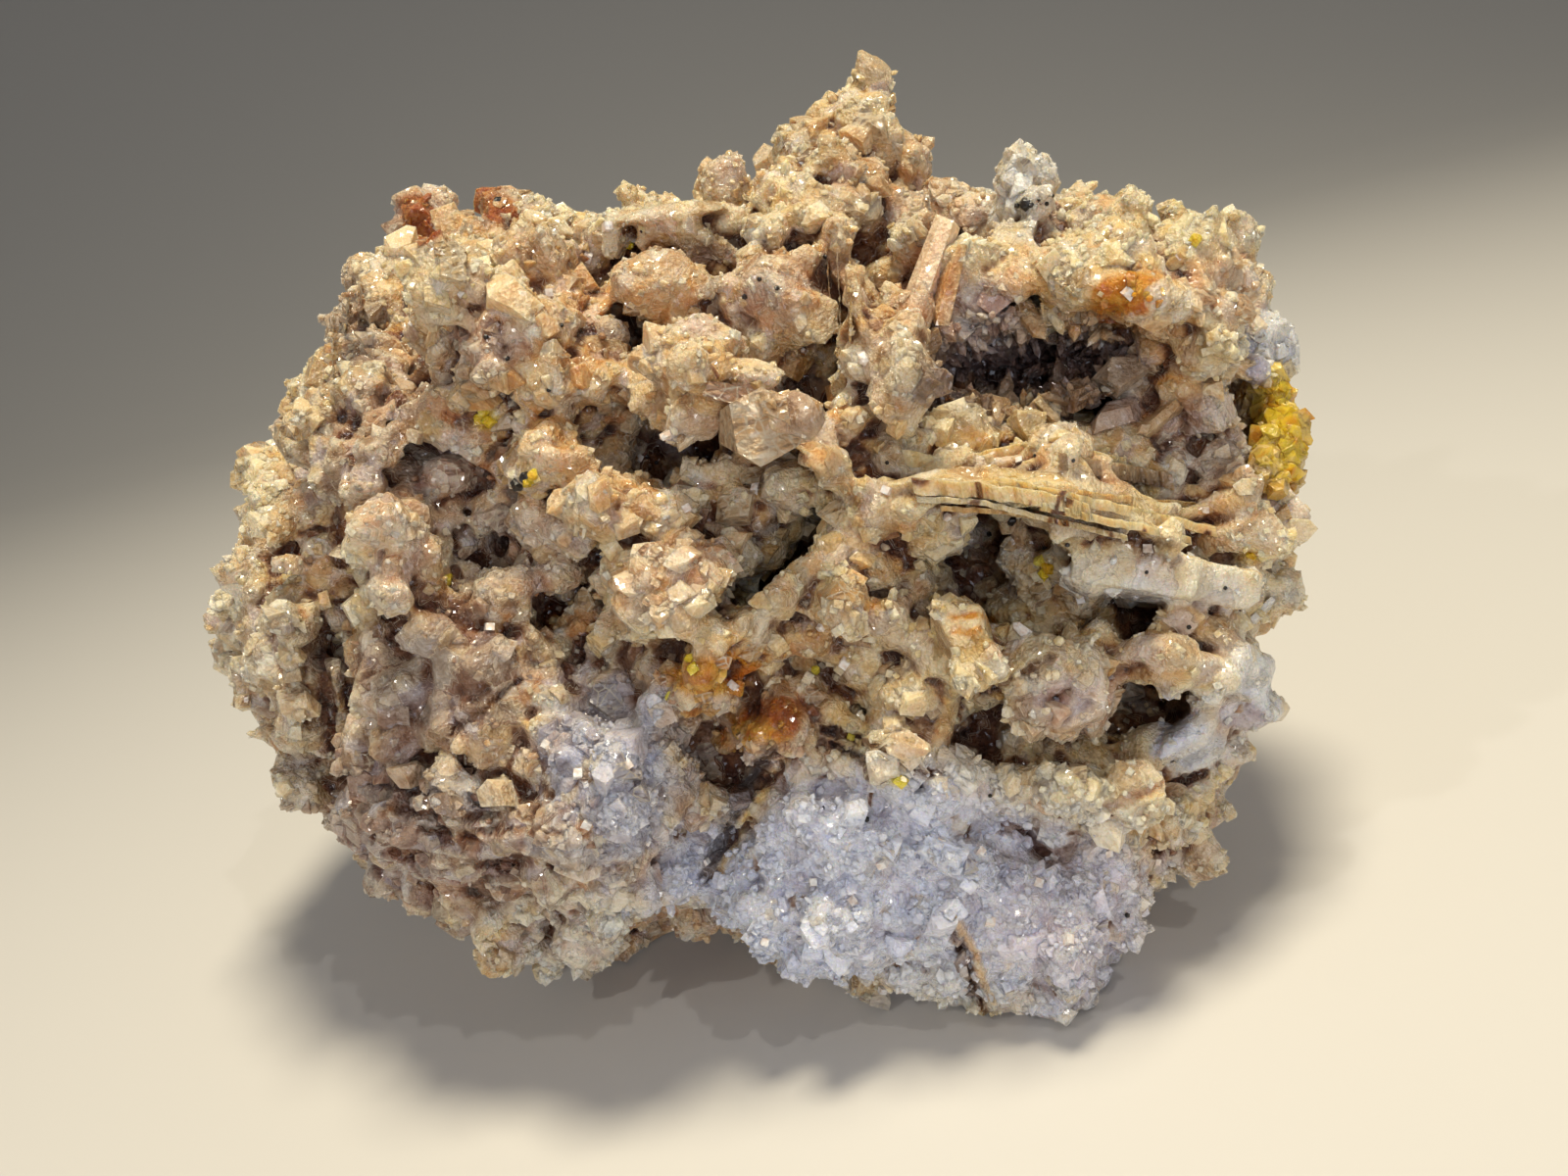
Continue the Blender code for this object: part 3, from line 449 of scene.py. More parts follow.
def baked(obj):
    """Applies the object's modifiers to its mesh."""
    graph = bpy.context.evaluated_depsgraph_get()
    mesh = bpy.data.meshes.new_from_object(obj.evaluated_get(graph))
    obj.modifiers.clear()
    obj.data = mesh
    return obj


def triples(items, key, count, kind=np.float32):
    """Three numbers of each item of a mesh, as an array."""
    flat = np.empty(count * 3, kind)
    items.foreach_get(key, flat)
    return flat.reshape(-1, 3)


def coordinates(mesh):
    """Where the vertices are, as an array."""
    return triples(mesh.vertices, "co", len(mesh.vertices)).astype(float)


def normals(mesh):
    """Which way the vertices face, as an array."""
    return triples(mesh.vertices, "normal", len(mesh.vertices)).astype(float)


def set_coordinates(mesh, points):
    """Moves the vertices to an array of places."""
    mesh.vertices.foreach_set("co", points.astype(np.float32).ravel())
    mesh.update()


def cells(points, size):
    """Of the cell that each point is in: its tilted height, how near its seam is, three numbers of its own."""
    found = np.empty((len(points), 5))
    for i, place in enumerate(points / (size * MM)):
        place = Vector(place)
        distances, corners = noise.voronoi(place)
        own = noise.cell_vector(corners[0] * 7.3)
        tilted = (place - corners[0]).dot(2 * own - Vector((1, 1, 1)))
        found[i] = (tilted, distances[1] - distances[0], *own)
    return found[:, 0], found[:, 1], found[:, 2:]


def averaged(mesh, values, rounds):
    """Values of the vertices, evened out over their neighbours that many times."""
    ends = np.empty(len(mesh.edges) * 2, np.int32)
    mesh.edges.foreach_get("vertices", ends)
    a, b = ends.reshape(-1, 2).T
    count = np.bincount(a, minlength=len(values)) + np.bincount(b, minlength=len(values)) + 1.0
    for _ in range(rounds):
        new = values.copy()
        for axis in range(values.shape[1]):
            new[:, axis] += np.bincount(a, values[b, axis], len(values))
            new[:, axis] += np.bincount(b, values[a, axis], len(values))
        values = new / count[:, None]
    return values


def hollowness(mesh, rounds):
    """How deep each vertex lies under its evened-out surroundings, in millimetres: below zero on tips."""
    points = coordinates(mesh)
    even = averaged(mesh, points, rounds)
    outward = averaged(mesh, normals(mesh), 6)
    outward /= np.linalg.norm(outward, axis=1, keepdims=True) + 1e-9
    return ((even - points) * outward).sum(axis=1) / MM


def put(mesh, name, values):
    """Stores a number or a tint for each vertex, for the materials to read."""
    if values.ndim == 1:
        mesh.attributes.new(name, "FLOAT", "POINT").data.foreach_set("value", values.astype(np.float32))
    else:
        full = np.concatenate([values, np.ones((len(values), 1))], axis=1)
        made = mesh.attributes.new(name, "FLOAT_COLOR", "POINT")
        made.data.foreach_set("color", full.astype(np.float32).ravel())


def evenly_faced(obj, face):
    """Remeshed to triangles of an even size, in millimetres."""
    even_faces = obj.modifiers.new("even_faces", "REMESH")
    even_faces.mode = "VOXEL"
    even_faces.voxel_size = face * MM
    obj.modifiers.new("triangles", "TRIANGULATE")
    return baked(obj)


# %% The bed
# Sizes in millimetres. Tilts are over a size, and the last line counts rounds of evening out.
BED_FACE = 0.6
DRAWN_IN, SHARE_AT_PATCH = 1.2, 0.35
FORM_GAIN = 0.35
CHUNK, CHUNK_RISE, CHUNK_TILT, CHUNK_GAP = 6.5, 0.9, 0.25, 2.4
LUMP, LUMP_RISE, LUMP_TILT, LUMP_GAP = 3.0, 0.4, 0.2, 0.8
PIT_SIZE, PIT_DEPTH, PIT_NOISE = 5.2, 3.0, (0.15, 0.62)
BEND, BEND_SIZE = 0.6, 2.2
FORM_LIMITS = (-2.5, 1.0)
CHUNK_SEAM = 0.42
OFF_PATCH = (0.5, 3.0)
EVENED_NORMALS, EVENED_FORM = 10, 50
bed = evenly_faced(merged_copy("calcite_mass", "bed"), BED_FACE)
points = coordinates(bed.data)
outward = averaged(bed.data, normals(bed.data), EVENED_NORMALS)
outward /= np.linalg.norm(outward, axis=1, keepdims=True)
relief = calm(points)[0]
off_patch = smoothstep(*OFF_PATCH, points[:, 2] / MM)
even = averaged(bed.data, points, EVENED_FORM)
form = ((points - even) * outward).sum(axis=1) / MM
bent = points + BEND * MM * np.stack([noise_at(points, BEND_SIZE, shift) for shift in (0, 9, 18)], axis=1)
pits = smoothstep(*PIT_NOISE, noise_at(points, PIT_SIZE, 3.0)) * PIT_DEPTH
rise = FORM_GAIN * np.clip(form, *FORM_LIMITS) - pits
for size, up, tilt, gap in ((CHUNK, CHUNK_RISE, CHUNK_TILT, CHUNK_GAP), (LUMP, LUMP_RISE, LUMP_TILT, LUMP_GAP)):
    tilted, seam, own = cells(bent, size)
    rise += up * (2 * own[:, 0] - 1) + tilt * size * tilted - gap * (1 - smoothstep(0.0, CHUNK_SEAM, seam))
rise = rise * relief + rises_at(points)
rise = rise * off_patch - DRAWN_IN * (SHARE_AT_PATCH + (1 - SHARE_AT_PATCH) * off_patch)
set_coordinates(bed.data, points + outward * (rise * MM)[:, None])
print("the bed has", len(bed.data.polygons), "triangles")

# %% [markdown]
# ## Crystals in their thousands
# Calcite grows as skewed blocks, stubby points and rounded grains. One small mesh of each habit is
# modelled with bmesh, with a dozen or two of faces. Arrays then copy it to thousands of places, each
# with its own turn, size and tint, straight into one mesh. One object draws much faster than ten
# thousand, and nothing is left that an exporter could lose.

# %% Habits of the crystals
rng = np.random.default_rng(26)


def habit_mesh(bm):
    """Vertices and triangles of a small bmesh, which is used up."""
    bmesh.ops.recalc_face_normals(bm, faces=bm.faces)
    bmesh.ops.triangulate(bm, faces=bm.faces)
    bm.verts.index_update()
    verts = np.array([vert.co for vert in bm.verts])
    faces = np.array([[vert.index for vert in face.verts] for face in bm.faces])
    bm.free()
    return verts, faces


def split(bm, at, normal):
    """Breaks a corner off flat."""
    made = bmesh.ops.bisect_plane(
        bm, geom=[*bm.verts, *bm.edges, *bm.faces], plane_co=at, plane_no=normal, clear_outer=True, dist=1e-5,
    )
    cut = [item for item in made["geom_cut"] if isinstance(item, bmesh.types.BMEdge)]
    bmesh.ops.edgeloop_fill(bm, edges=cut)


def skewed_block(lean, broken):
    """Calcite's cleavage block about the origin, with some corners broken off."""
    bm = bmesh.new()
    bmesh.ops.create_cube(bm, size=1)
    bmesh.ops.transform(bm, matrix=Matrix.Shear("XY", 4, (lean, lean * 0.6)), verts=bm.verts)
    for corner in broken:
        toward = Vector(corner)
        split(bm, toward * 0.36, toward.normalized())
    return habit_mesh(bm)


def point(sides, shaft, turn=0.0):
    """A prism with a pointed end, its root below the origin."""
    bm = bmesh.new()
    bmesh.ops.create_cone(
        bm, cap_ends=True, segments=sides, radius1=0.46, radius2=0.34, depth=shaft,
        matrix=Matrix.Translation((0, 0, shaft / 2 - 0.45)) @ Matrix.Rotation(turn, 4, "Z"),
    )
    top = max(bm.faces, key=lambda face: face.calc_center_median().z)
    tip = bmesh.ops.poke(bm, faces=[top])["verts"][0]
    tip.co = Vector((0.07, 0.03, shaft - 0.15))
    return habit_mesh(bm)


def grain():
    """A rounded grain, as where the growth was slow."""
    bm = bmesh.new()
    bmesh.ops.create_icosphere(bm, subdivisions=1, radius=0.55)
    return habit_mesh(bm)


def rounded_lump(cuts):
    """A rounded crystal with a few flat faces of its own."""
    bm = bmesh.new()
    bmesh.ops.create_icosphere(bm, subdivisions=1, radius=0.56)
    for vert in bm.verts:
        vert.co *= rng.uniform(0.88, 1.1)
    for _ in range(cuts):
        toward = Vector(rng.normal(0, 1, 3)).normalized()
        split(bm, toward * rng.uniform(0.36, 0.46), toward)
    return habit_mesh(bm)


HABITS = {
    "block": skewed_block(0.3, [(1, 1, 1), (-1, 0.8, 1), (1, -1, -0.7), (-0.6, -1, 0.3)]),
    "tilted_block": skewed_block(-0.25, [(1, -1, 1), (-1, -1, 0.8), (0.4, 1, -1), (1, 0.7, 0.9)]),
    "crumb": skewed_block(0.35, []),
    "blunt_point": point(6, 1.1),
    "tooth": point(5, 1.4, 0.4),
    "grain": grain(),
    "lump": rounded_lump(5),
    "other_lump": rounded_lump(6),
}
print({name: len(faces) for name, (_, faces) in HABITS.items()}, "triangles")

# %% Where crystals root
BEHIND = (120, 140)
FREE_FROM = 1.0


def corners_of(mesh):
    """The three vertex numbers of each triangle."""
    return triples(mesh.loops, "vertex_index", len(mesh.polygons), np.int32)


def roots_of(mesh, hollow, share=1.0):
    """The triangles of a mesh as arrays: where crystals may root, and how readily."""
    corners = corners_of(mesh)
    points = coordinates(mesh)
    area = np.empty(len(corners), np.float32)
    mesh.polygons.foreach_get("area", area)
    outward = averaged(mesh, normals(mesh), 5)[corners].mean(axis=1)
    outward /= np.linalg.norm(outward, axis=1, keepdims=True) + 1e-9
    centre = points[corners].mean(axis=1)
    relief, grain_size, sugar, blocks = calm(centre)
    return {
        "corners": points[corners], "outward": outward, "area": area * share,
        "hollow": hollow[corners].mean(axis=1),
        "relief": relief, "grain": grain_size, "sugar": sugar, "blocks": blocks,
        "behind": smoothstep(*BEHIND, picture_points(centre)[2]),
        "free": (centre[:, 2] > FREE_FROM * MM).astype(float),
    }


def frames(outward, lean):
    """Turns that take +Z to the outward directions, each leaning and turned by chance."""
    up = outward + rng.normal(0, lean, outward.shape)
    up /= np.linalg.norm(up, axis=1, keepdims=True)
    side = np.cross(up, rng.normal(0, 1, up.shape))
    side /= np.linalg.norm(side, axis=1, keepdims=True)
    return np.stack([side, np.cross(up, side), up], axis=2)


def shared_turns(places, size, spread):
    """Turns that neighbours share, as parts of one growth do, each off by a little chance."""
    near = [Vector(place) for place in places / (size * MM)]
    growth = np.array([(*noise.cell_vector(place), noise.cell(place)) for place in near])
    quaternion = 2 * growth - 1 + rng.normal(0, spread, growth.shape)
    w, x, y, z = (quaternion / np.linalg.norm(quaternion, axis=1, keepdims=True)).T
    rows = [
        [1 - 2 * (y * y + z * z), 2 * (x * y - z * w), 2 * (x * z + y * w)],
        [2 * (x * y + z * w), 1 - 2 * (x * x + z * z), 2 * (y * z - x * w)],
        [2 * (x * z - y * w), 2 * (y * z + x * w), 1 - 2 * (x * x + y * y)],
    ]
    return np.array(rows).transpose(2, 0, 1)


# Millimetres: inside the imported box, the range of widths, and how far one growth's turn reaches
BOX_MARGIN = 0.9
SMALLEST, LARGEST = 0.3, 4.2
GROWTH = 9.0
# Over a crystal's width: how much deeper it sits in a calm place, how much wider it is on the far side, how
# far it stays off the floor, and the chance in its depth and its height
CALM_SINK, WIDER_BEHIND, OFF_FLOOR = 0.06, 0.15, 0.7
ACROSS, TALLER = (0.7, 1.35), (0.7, 1.3)


def rooted(roots, weight, count, width, tall, proud, lean, spread=0.28):
    """Crystals that root by chance: their places, turns, sizes, and the triangle that each stands on."""
    picked = rng.choice(len(weight), size=count, p=weight / weight.sum())
    places = np.einsum("nc,nci->ni", rng.dirichlet((1, 1, 1), count), roots["corners"][picked])
    wide = width * roots["grain"][picked] * np.exp(rng.normal(0, spread, count))
    wide = np.clip(wide * (1 + WIDER_BEHIND * roots["behind"][picked]), SMALLEST, LARGEST)
    out = proud - CALM_SINK * (1 - np.clip(roots["relief"][picked], 0, 1))
    places = places + roots["outward"][picked] * (wide * out * MM)[:, None]
    places = np.clip(places, np.array(cad_low) + BOX_MARGIN * MM, np.array(cad_high) - BOX_MARGIN * MM)
    across = wide * rng.uniform(*ACROSS, count)
    sizes = np.stack([across, wide, wide * tall * rng.uniform(*TALLER, count)], axis=1)
    if lean < 0:
        turns = shared_turns(places, GROWTH, -lean)
    else:
        turns = frames(roots["outward"][picked], lean)
    places[:, 2] = np.maximum(places[:, 2], OFF_FLOOR * sizes.max(axis=1) * MM)
    return places, turns, sizes, picked


# %% Many crystals as one mesh
def crowd(habit, places, turns, sizes):
    """Vertices and triangles of many crystals of a habit. Sizes are width, depth and height in millimetres."""
    verts, faces = HABITS[habit]
    placed = np.einsum("nij,nvj->nvi", turns, verts[None] * (sizes * MM)[:, None, :]) + places[:, None, :]
    numbers = faces[None] + (np.arange(len(places)) * len(verts))[:, None, None]
    return placed.reshape(-1, 3), numbers.reshape(-1, 3)


def joined(parts):
    """Several pairs of vertices and triangles as one pair."""
    starts = np.cumsum([0] + [len(verts) for verts, _ in parts[:-1]])
    faces = [part[1] + start for part, start in zip(parts, starts)]
    return np.concatenate([part[0] for part in parts]), np.concatenate(faces)


def array_object(name, verts, faces, **read):
    """One flat-faced object from arrays, with the values that its material reads."""
    mesh = bpy.data.meshes.new(name)
    mesh.vertices.add(len(verts))
    mesh.vertices.foreach_set("co", verts.astype(np.float32).ravel())
    mesh.loops.add(faces.size)
    mesh.loops.foreach_set("vertex_index", faces.astype(np.int32).ravel())
    mesh.polygons.add(len(faces))
    mesh.polygons.foreach_set("loop_start", np.arange(0, faces.size, 3, dtype=np.int32))
    mesh.update(calc_edges=True)
    mesh.shade_flat()
    for key, values in read.items():
        put(mesh, key, values)
    obj = bpy.data.objects.new(name, mesh)
    bpy.context.scene.collection.objects.link(obj)
    return obj


def grown(name, habit, places, turns, sizes, tint, hollow):
    """One object of many crystals of a habit, each with a shade of its own."""
    verts = HABITS[habit][0]
    each, count = len(verts), len(places)
    return array_object(
        name, *crowd(habit, places, turns, sizes),
        tint=np.repeat(tint, each, axis=0), hollow=np.repeat(hollow, each),
        height=np.tile(np.clip(verts[:, 2] / verts[:, 2].max(), 0, 1), count),
        own=np.repeat(rng.random(count), each),
    )


# %% [markdown]
# ## Blades, slabs, prisms and lumps
# The larger crystals each have a place of their own. Thin blades stand edge on in a stack, with dark gaps
# between them. A slab, a cleaved chunk, prisms, peaks and lumps lie about them. Each is cut from a simple
# solid with flat planes, as a real crystal ends in flat faces, and set where the picture shows it. Most
# of them are frosted and grown over, so they are fused with the bed further down. The blades, the chunk
# and the prisms stay pieces of their own, because their faces are sharp.

# %% Places on the bed
skin = BVHTree.FromPolygons(coordinates(bed.data).tolist(), corners_of(bed.data).tolist())
USUAL_REACH = 0.112


def depth_at(x, y):
    """How far along FORWARD the ground is seen at a picture point."""
    direction = ray(x, y)
    place = skin.ray_cast(EYE, direction.normalized())[0]
    if place is None:
        place = skin.find_nearest(EYE + direction * USUAL_REACH)[0]
    return (place - EYE).dot(FORWARD)


def even_depth(x, y, reach):
    """The middle one of the depths around a picture point, so that one gap or tip doesn't decide."""
    around = [(0, 0), (reach, 0), (-reach, 0), (0, reach), (0, -reach)]
    return float(np.median([depth_at(x + dx, y + dy) for dx, dy in around]))


# %% Solids cut with planes
FUSED_RISE = 0.7


def cut_solid(kind, cuts, rough):
    """A unit crystal: a block, prism or lump whose corners and ends are cut off by chance planes."""
    bm = bmesh.new()
    if kind == "block":
        bmesh.ops.create_cube(bm, size=1)
        bmesh.ops.subdivide_edges(bm, edges=bm.edges[:], cuts=3, use_grid_fill=True)
    elif kind == "prism":
        along = Matrix.Rotation(math.radians(90), 4, "Y")
        bmesh.ops.create_cone(bm, cap_ends=True, segments=6, radius1=0.5, radius2=0.46, depth=1, matrix=along)
    else:
        bmesh.ops.create_icosphere(bm, subdivisions=2, radius=0.54)
    for vert in bm.verts:
        vert.co += Vector(rng.normal(0, rough, 3))
    for _ in range(cuts):
        toward = Vector(rng.normal(0, 1, 3)).normalized()
        if kind == "prism":
            toward = Vector((rng.choice((-1, 1)), rng.normal(0, 0.6), rng.normal(0, 0.6))).normalized()
        split(bm, toward * rng.uniform(0.36, 0.46), toward)
    return habit_mesh(bm)


def solid_in_place(kind, at, half, depth, turn, proud, cuts=6, rough=0.015, rise=FUSED_RISE):
    """The solid, as wide and high as it is seen, standing that many millimetres out of the ground."""
    verts, faces = cut_solid(kind, cuts, rough)
    reach = even_depth(*at, min(half) * 0.6)
    toward = -ray(*at).normalized()
    a = math.radians(turn + rng.normal(0, 3))
    across, above = RIGHT * math.cos(a) + UP * math.sin(a), UP * math.cos(a) - RIGHT * math.sin(a)
    unit = reach / FOCAL
    place = EYE + ray(*at) * reach + toward * (proud + rise - depth / 2) * MM
    axes = np.array([across * (2 * half[0] * unit), above * (2 * half[1] * unit), toward * (depth * MM)])
    tilt = Matrix.Rotation(rng.normal(0, 0.12), 3, across) @ Matrix.Rotation(rng.normal(0, 0.12), 3, above)
    placed = (verts @ axes) @ np.array(tilt).T + np.array(place)
    return placed, faces, np.clip(verts[:, 2] + 0.5, 0, 1)


def blade(line, thick, out, root, count=26, ragged=0.5, rise=FUSED_RISE):
    """A thin sheet seen edge on along a line of picture points. Sizes are in millimetres."""
    steps = np.linspace(0, len(line) - 1, count)
    xs = np.interp(steps, range(len(line)), [p[0] for p in line])
    ys = np.interp(steps, range(len(line)), [p[1] for p in line])
    depths = np.array([even_depth(x, y, 5) for x, y in zip(xs, ys)])
    padded = np.pad(depths, 5, mode="edge")
    depths = np.convolve(padded, np.ones(11) / 11, mode="valid")
    bm = bmesh.new()
    bmesh.ops.create_grid(bm, x_segments=count - 1, y_segments=3, size=1)
    ordered = sorted(bm.verts, key=lambda vert: (round(vert.co.x, 4), vert.co.y))
    for number, vert in enumerate(ordered):
        column, row = divmod(number, 4)
        direction = ray(xs[column], ys[column])
        inward = (-(out + rise) * (1 - ragged * rng.random()), 0.0, root * 0.4, root)[row]
        vert.co = EYE + direction * depths[column] + direction.normalized() * inward * MM
        vert.co += Vector(rng.normal(0, 0.05, 3)) * MM
    bmesh.ops.solidify(bm, geom=bm.faces[:], thickness=thick * MM)
    verts, faces = habit_mesh(bm)
    return verts, faces, np.full(len(verts), 0.5)


def form_object(name, parts, tints):
    """One object of placed solids, each with its own tint over the one of its place."""
    tint, height, own = [], [], []
    for (points, _, tips), (tint_name, strength) in zip(parts, tints):
        tint.append(tints_at(points) * (1 - strength) + TINT[tint_name] * strength)
        height.append(tips * 0.5)
        own.append(np.full(len(points), rng.random()))
    verts, faces = joined([part[:2] for part in parts])
    hollow = []
    for place in verts:
        nearest, outward, _, distance = skin.find_nearest(Vector(place))
        under = (Vector(place) - nearest).dot(outward) < 0
        hollow.append(min(distance / MM, 1.5) if under else -min(distance / MM, 0.6))
    return array_object(
        name, verts, faces, tint=np.concatenate(tint), hollow=np.array(hollow),
        height=np.concatenate(height), own=np.concatenate(own),
    )


# %% The blades
# Line of picture points, thickness, how far out, how deep, tint and its strength
BLADES = [
    ([(905, 456), (960, 466), (1000, 462), (1040, 452), (1100, 456), (1150, 468)], 1.9, 1.8, 5, ("cream", 0.6)),
    ([(1080, 462), (1150, 474), (1196, 484)], 1.5, 1.2, 5, ("grey_lilac", 0.4)),
    ([(930, 488), (1000, 493), (1060, 500), (1112, 514)], 1.3, 1.7, 5, ("cream", 0.5)),
    ([(935, 506), (1000, 509), (1050, 522), (1100, 534), (1150, 546)], 0.5, 1.9, 5, ("cream", 0.7)),
    ([(1020, 486), (1080, 499), (1130, 511), (1180, 523), (1240, 538)], 0.9, 1.5, 5, ("cream", 0.4)),
    ([(960, 516), (1030, 520), (1090, 532)], 0.45, 1.5, 5, ("tan", 0.5)),
    ([(1060, 512), (1110, 524), (1170, 536), (1215, 548)], 0.7, 1.5, 5, ("cream", 0.3)),
    ([(1100, 500), (1160, 508), (1220, 512)], 0.6, 1.1, 4, ("tan", 0.4)),
    ([(843, 250), (846, 300), (848, 348)], 0.45, 1.6, 4, ("clay", 0.7)),
    ([(853, 258), (856, 300), (858, 344)], 0.4, 1.5, 4, ("tan", 0.6)),
    ([(866, 262), (868, 300), (866, 342)], 0.9, 1.2, 4, ("peach", 0.5)),
    ([(355, 300), (350, 340), (352, 385)], 0.5, 1.2, 4, ("cream", 0.4)),
    ([(368, 290), (364, 335), (366, 390)], 0.5, 1.2, 4, ("grey_lilac", 0.4)),
    ([(340, 320), (338, 360), (342, 400)], 0.5, 1.0, 4, ("olive_white", 0.4)),
]
blades = form_object(
    "calcite_blades", [blade(line, thick, out, root) for line, thick, out, root, _ in BLADES],
    [tint for *_, tint in BLADES],
)
print("blades:", len(blades.data.polygons), "triangles")

